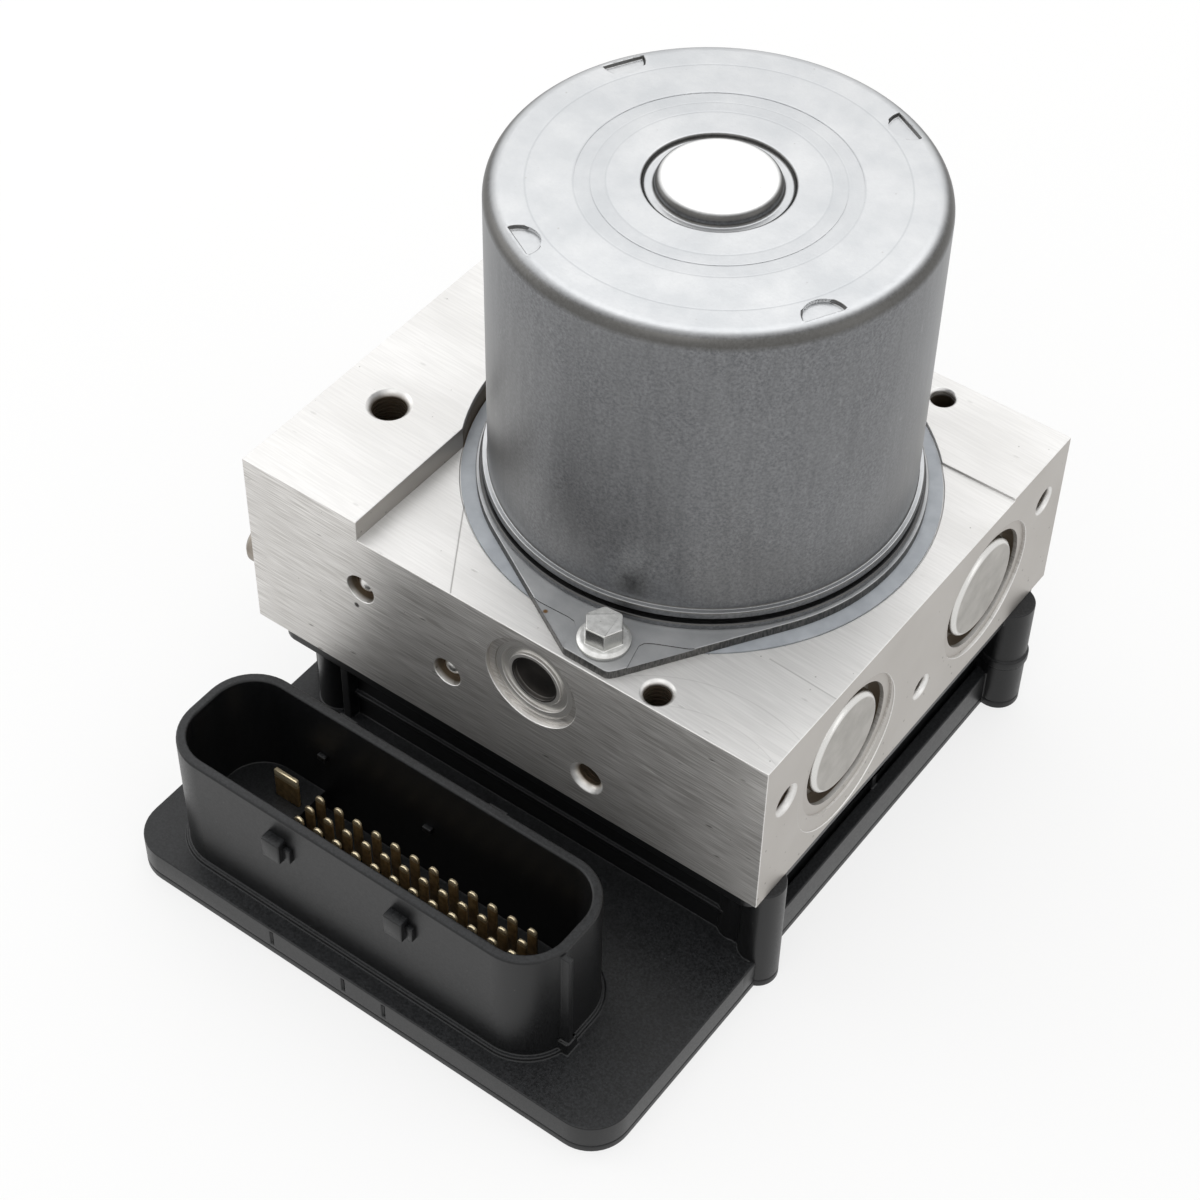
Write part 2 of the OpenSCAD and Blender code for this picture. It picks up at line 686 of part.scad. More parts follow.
module flange_bolts() {
  color([0.82, 0.82, 0.8])
    for (turn = [front_bolt_turn, rear_bolt_turn])
      translate([motor_x, my, plate_z + laid_gap]) rotate(turn) translate([flange_bolt_reach, 0]) {
        translate([0, 0, -bolt_length]) cylinder(h = bolt_length + 0.2, r = bolt_radius);
        cylinder(h = bolt_washer_thickness, r = bolt_washer_radius);
        translate([0, 0, bolt_washer_thickness - eps])
          cylinder(h = 0.5, r1 = bolt_washer_radius, r2 = bolt_head_radius + 0.3);
        rotate(bolt_head_turn) intersection() {
          cylinder(h = bolt_head_height, r = bolt_head_radius, $fn = 6);
          cylinder(h = bolt_head_height, r1 = bolt_head_radius + bolt_head_height * 1.6,
            r2 = bolt_head_radius - 0.3);
        }
      }
}

module can_profile(r, top, e) {
  square([r - e, top]);
  square([r, top - e]);
  translate([r - e, top - e]) circle(e);
}

module motor_can() {
  h = can_top - plate_z;
  seat_in = upper_bearing_radius + press_gap;
  color([0.6, 0.6, 0.6]) translate([motor_x, my, plate_z + laid_gap]) difference() {
    union() {
      difference() {
        union() {
          rotate_extrude() intersection() {
            can_profile(can_radius, h - laid_gap, can_edge_radius);
            square([can_radius + 1, h + 1]);
          }
          cylinder(h = can_rim_thickness, r = can_rim_radius);
          translate([0, 0, can_rim_thickness + bead_gap]) cylinder(h = bead_height, r = can_bead_radius);
        }
        translate([0, 0, -1]) cylinder(h = h - can_wall + 1 - laid_gap, r = can_inner);
        translate([0, 0, h - dish_depth - laid_gap]) cylinder(h = 5, r = dish_radius);
        translate([0, 0, h - 0.2 - laid_gap]) difference() {
          cylinder(h = 5, r = 24.2);
          translate([0, 0, -1]) cylinder(h = 7, r = 21.5);
        }
        for (k = [0 : 3])
          rotate(dimple_turn + k * 90) translate([0, 0, h - dimple_depth - laid_gap])
            linear_extrude(height = 5) intersection() {
              translate([dimple_reach, 0]) circle(dimple_radius);
              translate([dimple_reach - 8, -8]) square([8, 16]);
            }
      }
      translate([0, 0, h - can_wall - 6 - laid_gap]) cylinder(h = 6 + 1.5, r = dome_radius);
      translate([0, 0, h - can_wall - laid_gap]) cylinder(h = can_wall + dome_rise - 0.8, r = dome_radius);
      translate([0, 0, h + dome_rise - 0.8 - laid_gap])
        cylinder(h = 0.8, r1 = dome_radius, r2 = dome_radius - 0.8);
    }
    translate([0, 0, h - can_wall - 7]) cylinder(h = 7 + can_wall + dome_rise - 1.2 - laid_gap, r = seat_in);
  }
}

module magnets() {
  color([0.2, 0.2, 0.21]) translate([motor_x, my, magnet_z])
    for (k = [0 : 3])
      rotate(45 + k * 90) linear_extrude(height = magnet_length) intersection() {
        difference() {
          circle(can_inner - press_gap);
          circle(magnet_inner_radius);
        }
        polygon([[0, 0], [60, -42], [60, 42]]);
      }
}

module ring_bearing(inner, outer, width) {
  difference() {
    union() {
      difference() {
        cylinder(h = width, r = outer);
        translate([0, 0, -1]) cylinder(h = width + 2, r = outer - (outer - inner) * 0.25);
      }
      translate([0, 0, 0.4]) cylinder(h = width - 0.8, r = outer - 0.5);
      cylinder(h = width, r = inner + (outer - inner) * 0.25);
    }
    translate([0, 0, -1]) cylinder(h = width + 2, r = inner);
  }
}

module upper_bearing() {
  color([0.72, 0.73, 0.75]) translate([motor_x, my, upper_bearing_z])
    ring_bearing(shaft_top_radius + running_gap, upper_bearing_radius, upper_bearing_width);
}

module lower_bearing() {
  color([0.72, 0.73, 0.75]) translate([motor_x, my, lower_bearing_z])
    ring_bearing(shaft_radius + running_gap, lower_bearing_radius, spigot_depth + flange_thickness);
}

module brush_holder() {
  z = plate_z + laid_gap;
  color([0.16, 0.15, 0.14]) translate([motor_x, my, 0]) difference() {
    union() {
      translate([0, 0, z]) cylinder(h = 2, r = can_inner - 1.5);
      for (s = [-1, 1])
        mirror([s == 1 ? 0 : 1, 0, 0])
          box([brush_box_start, -brush_width / 2 - brush_box_wall - 0.1, z],
            [brush_box_end, brush_width / 2 + brush_box_wall + 0.1, brush_z + brush_height + 2]);
    }
    translate([0, 0, z - 1]) cylinder(h = 20, r = commutator_radius + 1.5);
    for (s = [-1, 1])
      mirror([s == 1 ? 0 : 1, 0, 0])
        box([commutator_radius - 0.5, -brush_width / 2 - 0.1, brush_z - 0.1],
          [brush_box_end - 1.5, brush_width / 2 + 0.1, brush_z + brush_height + 0.1]);
    for (s = [-1, 1])
      translate([-lead_reach, s * lead_pitch, z - 1]) cylinder(h = 20, r = lead_radius + 0.1);
  }
}

module brushes() {
  color([0.25, 0.25, 0.27]) translate([motor_x, my, 0])
    for (s = [-1, 1])
      mirror([s == 1 ? 0 : 1, 0, 0])
        box([brush_start, -brush_width / 2, brush_z],
          [brush_start + brush_length, brush_width / 2, brush_z + brush_height]);
}

module motor_terminals() {
  color([0.8, 0.62, 0.35])
    for (s = [-1, 1])
      translate([lead_x, my + s * lead_pitch, board_z + board_thickness + laid_gap])
        cylinder(h = plate_z - board_z - board_thickness + 1.5, r = lead_radius);
}

module lead_guide() {
  color([0.15, 0.15, 0.16]) translate([lead_x, my, 0]) difference() {
    union() {
      translate([0, 0, bz0 + 1]) cylinder(h = lower_bearing_z - 0.4 - bz0 - 1, r = 4 - laid_gap);
      translate([0, 0, lower_bearing_z - 0.4]) cylinder(h = spigot_depth + 1, r = lead_guide_radius);
    }
    for (s = [-1, 1])
      translate([0, s * lead_pitch, 0]) cylinder(h = 100, r = lead_radius + laid_gap);
  }
}

module motor_shaft() {
  color([0.7, 0.7, 0.71]) translate([motor_x, my, 0]) {
    translate([0, 0, shaft_bottom]) cylinder(h = upper_bearing_z - 0.5 - shaft_bottom, r = shaft_radius);
    translate([0, 0, upper_bearing_z - 0.5 - eps])
      cylinder(h = upper_bearing_width, r = shaft_top_radius);
  }
}

module armature_core() {
  color([0.5, 0.5, 0.52]) translate([motor_x, my, core_z]) linear_extrude(height = core_length)
    difference() {
      circle(core_radius);
      circle(shaft_radius + press_gap);
      for (k = [0 : slot_count - 1])
        rotate(k * 360 / slot_count) {
          translate([slot_reach, 0]) circle(slot_radius);
          translate([slot_reach, -0.8]) square([10, 1.6]);
        }
    }
}

module windings() {
  color([0.72, 0.4, 0.2]) translate([motor_x, my, 0]) {
    for (z = [core_z - end_winding - laid_gap, core_z + core_length + laid_gap])
      translate([0, 0, z]) difference() {
        cylinder(h = end_winding, r = slot_reach + slot_radius + 0.2);
        translate([0, 0, -1]) cylinder(h = end_winding + 2, r = 12);
      }
    for (k = [0 : slot_count - 1])
      rotate(k * 360 / slot_count) translate([slot_reach, 0, core_z - 1])
        cylinder(h = core_length + 2, r = slot_radius - 0.5, $fn = 16);
  }
}

module commutator() {
  color([0.75, 0.45, 0.25]) translate([motor_x, my, commutator_z]) difference() {
    cylinder(h = commutator_length, r = commutator_radius);
    translate([0, 0, -1]) cylinder(h = 20, r = shaft_radius + press_gap);
    for (k = [0 : slot_count - 1])
      rotate(k * 360 / slot_count) box([commutator_radius - 1, -0.3, -1], [20, 0.3, 20]);
  }
}

module eccentric() {
  color([0.55, 0.55, 0.57]) translate([motor_x, my, pump_z - eccentric_bearing_width / 2 - 0.5])
    difference() {
      translate([eccentric_throw, 0, 0])
        cylinder(h = eccentric_bearing_width + 1, r = eccentric_radius);
      translate([0, 0, -1]) cylinder(h = 20, r = shaft_radius + press_gap);
    }
}

module eccentric_bearing() {
  color([0.72, 0.73, 0.75])
    translate([motor_x + eccentric_throw, my, pump_z - eccentric_bearing_width / 2])
      ring_bearing(eccentric_radius + press_gap, eccentric_bearing_radius, eccentric_bearing_width);
}

module pump_sleeve(sleeve_end) {
  difference() {
    translate([0, 0, sleeve_start])
      cylinder(h = sleeve_end - sleeve_start - laid_gap, r = pump_sleeve_radius - press_gap);
    translate([0, 0, sleeve_start - 1]) cylinder(h = 40, r = pump_piston_radius + running_gap);
    translate([0, 0, sleeve_start + 5]) difference() {
      cylinder(h = 3, r = pump_sleeve_radius + 1);
      translate([0, 0, -1]) cylinder(h = 5, r = pump_sleeve_radius - 0.8);
    }
  }
}

module pump_plug(reach, sleeve_end) {
  top = reach - pump_plug_sink;
  difference() {
    translate([0, 0, sleeve_end]) cylinder(h = top - sleeve_end, r = pump_plug_radius - press_gap);
    translate([0, 0, sleeve_end - 1]) cylinder(h = spring_room + 1, r = pump_piston_radius + 0.1);
    translate([0, 0, top - 0.7]) difference() {
      cylinder(h = 2, r = 7.3);
      translate([0, 0, -1]) cylinder(h = 4, r = pump_dish_radius + 1.1);
    }
    translate([0, 0, top - 0.9]) cylinder(h = 3, r = pump_dish_radius);
  }
}

// a piston ends short of the sleeve end by its full stroke and some room
function piston_end(sleeve_end) = sleeve_end - 2 * eccentric_throw - piston_end_room;

module pump_piston(sleeve_end) {
  translate([0, 0, piston_start])
    cylinder(h = piston_end(sleeve_end) - piston_start, r = pump_piston_radius);
}

module pump_spring(sleeve_end) {
  piston_end = piston_end(sleeve_end);
  translate([0, 0, piston_end + laid_gap])
    coil_spring(sleeve_end + spring_room - piston_end - 2 * laid_gap, pump_spring_wire,
      pump_spring_radius, 5, 12);
}

module pump_sleeves() {
  color([0.65, 0.65, 0.66]) {
    to_front() pump_sleeve(front_sleeve_end);
    to_rear() pump_sleeve(rear_sleeve_end);
  }
}

module pump_plug_front() {
  color([0.7, 0.7, 0.7]) to_front() pump_plug(front_reach, front_sleeve_end);
}

module pump_plug_rear() {
  color([0.7, 0.7, 0.7]) to_rear() pump_plug(rear_reach, rear_sleeve_end);
}

module pump_piston_front() {
  color([0.8, 0.8, 0.82]) to_front() pump_piston(front_sleeve_end);
}

module pump_piston_rear() {
  color([0.8, 0.8, 0.82]) to_rear() pump_piston(rear_sleeve_end);
}

module pump_spring_front() {
  color([0.6, 0.6, 0.62]) to_front() pump_spring(front_sleeve_end);
}

module pump_spring_rear() {
  color([0.6, 0.6, 0.62]) to_rear() pump_spring(rear_sleeve_end);
}

module accumulator_cap() {
  e = cap_edge_radius;
  difference() {
    union() {
      rod_x([cap_flange_x, 0, 0], cap_flange_thickness, cap_bore_radius - press_gap);
      rod_x([cap_flange_x, 0, 0], cap_face_x - e - cap_flange_x, cap_face_radius);
      translate([cap_face_x - e, 0, 0]) rotate([0, 90, 0]) rotate_extrude() intersection() {
        union() {
          square([cap_face_radius - e, e]);
          translate([cap_face_radius - e, 0]) circle(e);
        }
        square([30, 30]);
      }
    }
    rod_x([cap_flange_x - 1, 0, 0], cap_inside_x - cap_flange_x + 1, 8.4);
  }
}

module accumulator_caps() {
  color([0.78, 0.77, 0.75])
    for (y = [near_y, far_y])
      translate([0, y, acc_z]) accumulator_cap();
}

module accumulator_piston() {
  difference() {
    rod_x([piston_x0, 0, 0], accumulator_piston_length, accumulator_radius - running_gap);
    rod_x([piston_floor, 0, 0], 20, 7.4);
    translate([piston_x0 + 5, 0, 0]) rotate([0, 90, 0]) difference() {
      cylinder(h = 2.2, r = accumulator_radius + 1);
      translate([0, 0, -1]) cylinder(h = 5, r = 8.6);
    }
  }
}

module accumulator_seal() {
  translate([piston_x0 + 5 + 0.05, 0, 0]) rotate([0, 90, 0]) difference() {
    cylinder(h = 2.1, r = accumulator_radius - 0.01);
    translate([0, 0, -1]) cylinder(h = 5, r = 8.6 + press_gap);
  }
}

module accumulator_spring() {
  translate([piston_floor + laid_gap, 0, 0]) rotate([0, 90, 0])
    coil_spring(cap_inside_x - piston_floor - 2 * laid_gap, accumulator_spring_wire,
      accumulator_spring_radius, 6, 14);
}

module accumulator_piston_near() {
  color([0.7, 0.68, 0.6]) translate([0, near_y, acc_z]) accumulator_piston();
}

module accumulator_piston_far() {
  color([0.7, 0.68, 0.6]) translate([0, far_y, acc_z]) accumulator_piston();
}

module accumulator_seal_near() {
  color([0.1, 0.1, 0.1]) translate([0, near_y, acc_z]) accumulator_seal();
}

module accumulator_seal_far() {
  color([0.1, 0.1, 0.1]) translate([0, far_y, acc_z]) accumulator_seal();
}

module accumulator_spring_near() {
  color([0.6, 0.6, 0.62]) translate([0, near_y, acc_z]) accumulator_spring();
}

module accumulator_spring_far() {
  color([0.6, 0.6, 0.62]) translate([0, far_y, acc_z]) accumulator_spring();
}

module valve_cartridge() {
  cylinder(h = valve_flange_thickness, r = valve_flange_radius - press_gap);
  cylinder(h = valve_depth, r = valve_body_radius - press_gap);
  translate([0, 0, -valve_tube_length]) cylinder(h = valve_tube_length + 1, r = valve_tube_radius);
}

module valve_row(x) {
  for (y = valve_places)
    translate([x, y, bz0]) children();
}

module inlet_valves() {
  color([0.75, 0.73, 0.68]) valve_row(inlet_x) valve_cartridge();
}

module outlet_valves() {
  color([0.7, 0.7, 0.66]) valve_row(outlet_x) valve_cartridge();
}

module coil() {
  translate([0, 0, -5 - coil_length]) difference() {
    cylinder(h = coil_length, r = coil_radius);
    translate([0, 0, -1]) cylinder(h = 30, r = valve_tube_radius + 0.1);
  }
}

module coil_case() {
  translate([0, 0, -5 - coil_length]) difference() {
    translate([0, 0, -coil_case_wall - laid_gap])
      cylinder(h = coil_length + 2 * coil_case_wall + 2 * laid_gap,
        r = coil_radius + coil_case_wall + press_gap);
    translate([0, 0, -laid_gap]) cylinder(h = coil_length + 2 * laid_gap, r = coil_radius + press_gap);
    translate([0, 0, -3]) cylinder(h = 30, r = valve_tube_radius + 0.1);
    translate([0, 0, 3]) rotate([90, 0, 0]) cylinder(h = 20, r = 1.5);
  }
}

module solenoid_coils() {
  color([0.12, 0.12, 0.13])
    for (x = [inlet_x, outlet_x])
      valve_row(x) coil();
}

module coil_cases() {
  color([0.55, 0.55, 0.56])
    for (x = [inlet_x, outlet_x])
      valve_row(x) coil_case();
}

// outline of the base: wide in front, narrower behind the near column
module base_outline(inset) {
  r = shelf_corner_radius - inset;
  round_rect(shelf_left + inset, shelf_right - inset, shelf_y0 + inset, column_places[1][1], r);
  round_rect(shelf_left + inset, base_right - inset, column_places[1][1] - 30,
    base_back - inset, 4 - inset);
}

module lip_outline(inset) {
  round_rect(bx0 + lip_left_inset + inset, bx1 - lip_inset - inset, by0 + lip_inset + inset,
    by1 - lip_inset - inset, 3.5 - inset);
}

module wall_outline(inset) {
  round_rect(wall_left + inset, wall_right - inset, by0 + wall_front_inset + inset,
    by1 - wall_back_inset - inset, 4.5 - inset);
}

module shroud_outline(inset) {
  round_rect(shroud_left + inset, shroud_right - inset, shroud_front + inset, shroud_back - inset,
    shroud_radius - inset);
}

module housing_gasket() {
  color([0.3, 0.3, 0.32]) translate([0, 0, housing_height - 1.2 + laid_gap])
    linear_extrude(height = 1.2 - 2 * laid_gap) difference() {
      lip_outline(1.6);
      lip_outline(3.2);
    }
}

module ecu_housing() {
  z0 = cover_thickness + laid_gap;
  color([0.09, 0.09, 0.095]) difference() {
    union() {
      translate([0, 0, z0]) linear_extrude(height = shelf_height - z0) base_outline(0);
      translate([0, 0, z0]) linear_extrude(height = lip_z - z0) wall_outline(0);
      translate([0, 0, lip_z]) linear_extrude(height = lip_thickness - laid_gap) lip_outline(0);
      for (i = [0 : 3])
        translate([column_places[i][0], column_places[i][1], z0])
          cylinder(h = housing_height - laid_gap - z0, r = column_radii[i]);
      for (p = screw_places)
        translate([p[0], p[1], z0]) cylinder(h = lip_z - z0 + 1, r = screw_boss_radius);
      // ribs beside the columns
      box([left_screw_x + 4, by0 + 2.6, z0], [left_screw_x + 6, by0 + 8, lip_z]);
      box([left_screw_x - 7.5, by0 + 8, z0], [left_screw_x - 1.5, by0 + 10, lip_z]);
      box([right_screw_x, by0 + 4.2, z0], [right_screw_x + 4, by0 + 8, lip_z]);
      box([right_screw_x, by1 - 13, z0], [far_column_x - 0.1, by1 - 6, lip_z]);
      // seam ledge on the front wall and on the right wall
      translate([0, 0, 13.2]) linear_extrude(height = 1.2) intersection() {
        wall_outline(-0.9);
        translate([wall_left - 10, by0 - 32]) square([200, 90]);
      }
      box([wall_right - 1, by0 + 48.5, z0], [wall_right + 0.8, by0 + 50, lip_z]);
      // right rail
      box([base_right - 2.6, by0 + 10, shelf_height - eps],
        [base_right, by1 - 13, shelf_height + 1.6]);
      // connector shroud
      translate([0, 0, z0]) linear_extrude(height = shroud_top - z0) shroud_outline(0);
      translate([0, 0, z0]) linear_extrude(height = shelf_height + 0.8 - z0) shroud_outline(-shroud_foot);
      // lugs on the shroud
      for (x = [-17.5, 10.6]) {
        box([x - 2.2, shroud_front - 1.9, shroud_top - 8.8], [x + 1.6, shroud_front + 1, shroud_top - 5]);
        box([x + 1.6 - eps, shroud_front - 0.8, shroud_top - 9.8],
          [x + 3.1, shroud_front + 1, shroud_top - 6.8]);
      }
      for (x = [-24, 11])
        box([x - 2, shroud_back - 1, shroud_top - 7.2], [x + 2, shroud_back + 1.9, shroud_top - 3]);
      // upright rib at the right end of the shroud
      box([shroud_right - 1, shroud_front + 7.2, shelf_height - eps],
        [shroud_right + 1.4, shroud_front + 8.6, shroud_top - 1.2]);
      box([shroud_right - 2, shroud_front + 6.6, shelf_height - eps],
        [shroud_right + 1.5, shroud_front + 9.8, shelf_height + 3]);
      // bead on the far column
      translate([column_places[3][0], column_places[3][1], 12])
        cylinder(h = 2, r = far_column_radius + 0.4);
    }
    // room for the coils, open to the bottom
    translate([0, 0, z0 - 1]) linear_extrude(height = lip_z - z0 + 1) difference() {
      wall_outline(skin);
      for (i = [0 : 3]) {
        translate(column_places[i]) circle(column_radii[i]);
        translate(screw_places[i]) circle(screw_boss_radius);
      }
    }
    // room for the board under the shelf
    translate([0, 0, z0 - 1]) linear_extrude(height = shelf_height - skin - z0 + 1) difference() {
      base_outline(skin);
      for (i = [0 : 3]) {
        translate(column_places[i]) circle(column_radii[i]);
        translate(screw_places[i]) circle(screw_boss_radius);
      }
    }
    // connector cavity and its floor
    translate([0, 0, shelf_height]) linear_extrude(height = 60) difference() {
      shroud_outline(shroud_wall);
      translate([shroud_left - 1, shroud_front - 1])
        square([blade_x + blade_width / 2 + 1.6 - shroud_left + 1, shroud_depth + 2]);
    }
    translate([0, 0, blade_floor_height]) linear_extrude(height = 60) shroud_outline(shroud_wall);
    // windows for the valves, the motor leads and the screws
    for (y = valve_places)
      for (x = [inlet_x, outlet_x])
        translate([x, y, 10]) cylinder(h = 40, r = valve_tube_radius + 0.5);
    translate([lead_x, my, 10]) cylinder(h = 40, r = 4.6);
    for (p = screw_places) {
      translate([p[0], p[1], -1]) cylinder(h = 40, r = 2.15);
      translate([p[0], p[1], -1]) cylinder(h = 6.2, r = 3.4);
    }
    for (i = [0 : pins_in_row - 1])
      for (j = [0 : pin_rows - 1])
        translate([pin_x + i * pin_pitch, pin_y - j * pin_row_pitch, 6])
          cube([pin_width + 2 * laid_gap, pin_width + 2 * laid_gap, 6], center = true);
    box([blade_x - blade_width / 2 - laid_gap, pin_y - blade_thickness / 2 - laid_gap, 0],
      [blade_x + blade_width / 2 + laid_gap, pin_y + blade_thickness / 2 + laid_gap, 40]);
    // groove for the gasket
    translate([0, 0, housing_height - 1.2]) linear_extrude(height = 5) difference() {
      lip_outline(1.6 - laid_gap);
      lip_outline(3.2 + laid_gap);
    }
    // shallow grooves in the front of the shelf
    for (x = [-17.8, -0.7, 8.8])
      box([x - 0.3, shelf_y0 - 1, 3], [x + 0.3, shelf_y0 + 0.35, 6.4]);
  }
}

module ecu_cover() {
  color([0.1, 0.1, 0.105]) difference() {
    linear_extrude(height = cover_thickness) {
      base_outline(0);
      for (i = [0 : 3])
        translate(column_places[i]) circle(column_radii[i]);
    }
    for (p = screw_places)
      translate([p[0], p[1], -1]) cylinder(h = 10, r = 3.4);
  }
}

module circuit_board() {
  color([0.1, 0.32, 0.2]) translate([0, 0, board_z])
    linear_extrude(height = board_thickness) difference() {
      base_outline(skin + 0.4);
      for (i = [0 : 3]) {
        translate(column_places[i]) circle(column_radii[i] + 0.5);
        translate(screw_places[i]) circle(screw_boss_radius + 0.5);
      }
      translate([shelf_left, by0 - 6]) square([6, block_depth + 9]);
    }
}

module connector_pins() {
  color([0.55, 0.45, 0.28])
    for (i = [0 : pins_in_row - 1])
      for (j = [0 : pin_rows - 1])
        translate([pin_x + i * pin_pitch, pin_y - j * pin_row_pitch, 0]) {
          translate([-pin_width / 2, -pin_width / 2, board_z + board_thickness + laid_gap])
            cube([pin_width, pin_width, pin_top - 0.8 - board_z - board_thickness]);
          translate([0, 0, pin_top - 0.8]) rotate(45)
            cylinder(h = 0.8, r1 = pin_width * 0.7, r2 = pin_width * 0.35, $fn = 4);
        }
}

module power_blade() {
  color([0.55, 0.45, 0.28])
    box([blade_x - blade_width / 2, pin_y - blade_thickness / 2, board_z + board_thickness + laid_gap],
      [blade_x + blade_width / 2, pin_y + blade_thickness / 2, pin_top + 0.6]);
}

module ecu_screws() {
  color([0.6, 0.6, 0.6])
    for (p = screw_places)
      translate([p[0], p[1], 0]) difference() {
        union() {
          translate([0, 0, 1.6]) cylinder(h = 3.58, r = 3.2);
          translate([0, 0, 4.9]) cylinder(h = bz0 + 8 - 4.9, r = 2);
        }
        translate([0, 0, 0.6]) cylinder(h = 2.6, r = 1.6, $fn = 6);
      }
}

valve_block();
side_pin();
ball_plugs();
motor_gasket();
motor_flange();
flange_bolts();
motor_can();
magnets();
upper_bearing();
lower_bearing();
brush_holder();
brushes();
motor_terminals();
lead_guide();
motor_shaft();
armature_core();
windings();
commutator();
eccentric();
eccentric_bearing();
pump_sleeves();
pump_plug_front();
pump_plug_rear();
pump_piston_front();
pump_piston_rear();
pump_spring_front();
pump_spring_rear();
accumulator_caps();
accumulator_piston_near();
accumulator_piston_far();
accumulator_seal_near();
accumulator_seal_far();
accumulator_spring_near();
accumulator_spring_far();
inlet_valves();
outlet_valves();
solenoid_coils();
coil_cases();
housing_gasket();
ecu_housing();
ecu_cover();
circuit_board();
connector_pins();
power_blade();
ecu_screws();
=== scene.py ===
# %% [markdown]
# # An anti-lock brake hydraulic unit on a white table
# The solids of this unit come from the construction model and are loaded as a fixed frame.
# This lesson gives them the look of the real thing: it rounds their sharp edges, adds the small
# pieces that only matter to the eye, builds one finish for each real material, and lights the
# unit in a plain studio. Everything is in metres, with Z up and the plug side towards -Y.

# %% Load the frame
import json
import math

import bmesh
import bpy
from mathutils import Matrix, Vector

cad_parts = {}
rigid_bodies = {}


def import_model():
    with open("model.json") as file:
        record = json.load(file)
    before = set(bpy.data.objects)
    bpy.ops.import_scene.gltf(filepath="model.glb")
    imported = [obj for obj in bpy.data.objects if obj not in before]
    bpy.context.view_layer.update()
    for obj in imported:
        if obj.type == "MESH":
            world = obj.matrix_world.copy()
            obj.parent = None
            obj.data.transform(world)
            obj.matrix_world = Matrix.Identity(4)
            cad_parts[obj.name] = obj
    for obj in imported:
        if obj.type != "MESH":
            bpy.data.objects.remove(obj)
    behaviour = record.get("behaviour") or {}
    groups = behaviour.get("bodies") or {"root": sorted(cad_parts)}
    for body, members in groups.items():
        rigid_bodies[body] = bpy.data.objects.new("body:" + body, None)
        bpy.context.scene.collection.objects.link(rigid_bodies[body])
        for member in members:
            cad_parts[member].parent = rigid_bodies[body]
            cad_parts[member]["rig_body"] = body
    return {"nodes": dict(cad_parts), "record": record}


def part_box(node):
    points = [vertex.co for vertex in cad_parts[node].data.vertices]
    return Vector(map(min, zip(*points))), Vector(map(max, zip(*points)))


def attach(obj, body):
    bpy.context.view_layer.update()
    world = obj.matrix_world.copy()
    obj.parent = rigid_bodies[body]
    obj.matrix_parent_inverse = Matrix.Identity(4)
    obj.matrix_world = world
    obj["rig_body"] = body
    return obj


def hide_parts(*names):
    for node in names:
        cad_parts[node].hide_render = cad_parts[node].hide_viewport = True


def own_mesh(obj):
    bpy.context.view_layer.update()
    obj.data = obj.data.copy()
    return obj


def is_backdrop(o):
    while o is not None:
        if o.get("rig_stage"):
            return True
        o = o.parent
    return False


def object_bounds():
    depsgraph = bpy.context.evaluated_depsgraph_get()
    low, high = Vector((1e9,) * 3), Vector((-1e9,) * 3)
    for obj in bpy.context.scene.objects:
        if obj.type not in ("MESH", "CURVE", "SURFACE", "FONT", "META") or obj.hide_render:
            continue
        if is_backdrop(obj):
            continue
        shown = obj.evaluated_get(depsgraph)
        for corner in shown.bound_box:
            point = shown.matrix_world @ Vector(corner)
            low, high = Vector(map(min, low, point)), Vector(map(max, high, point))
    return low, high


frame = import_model()
cad_low, cad_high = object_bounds()
nodes = frame["nodes"]
MM = 0.001
print("frame loaded,", len(nodes), "CAD nodes, box in mm:", [round(v / MM, 1) for v in cad_high - cad_low])

# %% [markdown]
# ## Places that everything else uses
# The motor axis is the middle of the can, and the two pump plugs and the accumulator caps have
# axes of their own. The motor axis and the pump axis, through the front plug, are read from the
# boxes of the CAD nodes, so this script follows the construction when a size changes there.

# %% Read the main places from the frame
can_low, can_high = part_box("motor_can")
block_low, block_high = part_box("valve_block")
gasket_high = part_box("motor_gasket")[1]
axis_x = (can_low.x + can_high.x) / 2
axis_y = (can_low.y + can_high.y) / 2
top_z = gasket_high.z + 0.02 * MM
bar_z = block_high.z
bar_edge_x = block_low.x + 26.85 * MM
front_y, back_y = block_low.y, block_high.y
plug_low, plug_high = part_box("pump_plug_front")
pump_centre = ((plug_low.x + plug_high.x) / 2, 0, (plug_low.z + plug_high.z) / 2)
print("motor axis at", round(axis_x / MM, 2), round(axis_y / MM, 2), "mm")
print("top face at", round(top_z / MM, 2), "mm")

# %% [markdown]
# ## One small function for every shader node
# A finish is a small network. This function makes one node, sets its options and joins its
# inputs, so that each finish below reads as a list of steps. Three kinds come up again and again:
# Math for arithmetic, MapRange to turn one range of numbers into another and hold it there, and
# Mix, whose input 0 is the share and whose inputs 6 and 7 are the two colours.


# %% Node helper and colours
# a Mix node for colours, and its output with the mixed colour
COLOURS = {"data_type": "RGBA", "out": 2}


def colour(code):
    """An sRGB hex colour as the linear RGBA that the shaders work in."""
    parts = [int(code[i : i + 2], 16) / 255 for i in (1, 3, 5)]
    return [c / 12.92 if c <= 0.04045 else ((c + 0.055) / 1.055) ** 2.4 for c in parts] + [1.0]


def add(tree, kind, inputs=(), out=0, **settings):
    """Makes one node and gives back one of its outputs.

    The inputs go by place in a list or by name in a dictionary. Each is a number or a vector, a
    hex colour, or the output of another node, which is then linked.
    """
    node = tree.nodes.new("ShaderNode" + kind)
    for name, value in settings.items():
        setattr(node, name, value)
    pairs = inputs.items() if isinstance(inputs, dict) else enumerate(inputs)
    for key, value in pairs:
        if isinstance(value, bpy.types.NodeSocket):
            tree.links.new(value, node.inputs[key])
        elif isinstance(value, str):
            node.inputs[key].default_value = colour(value)
        else:
            node.inputs[key].default_value = value
    return node.outputs[out]


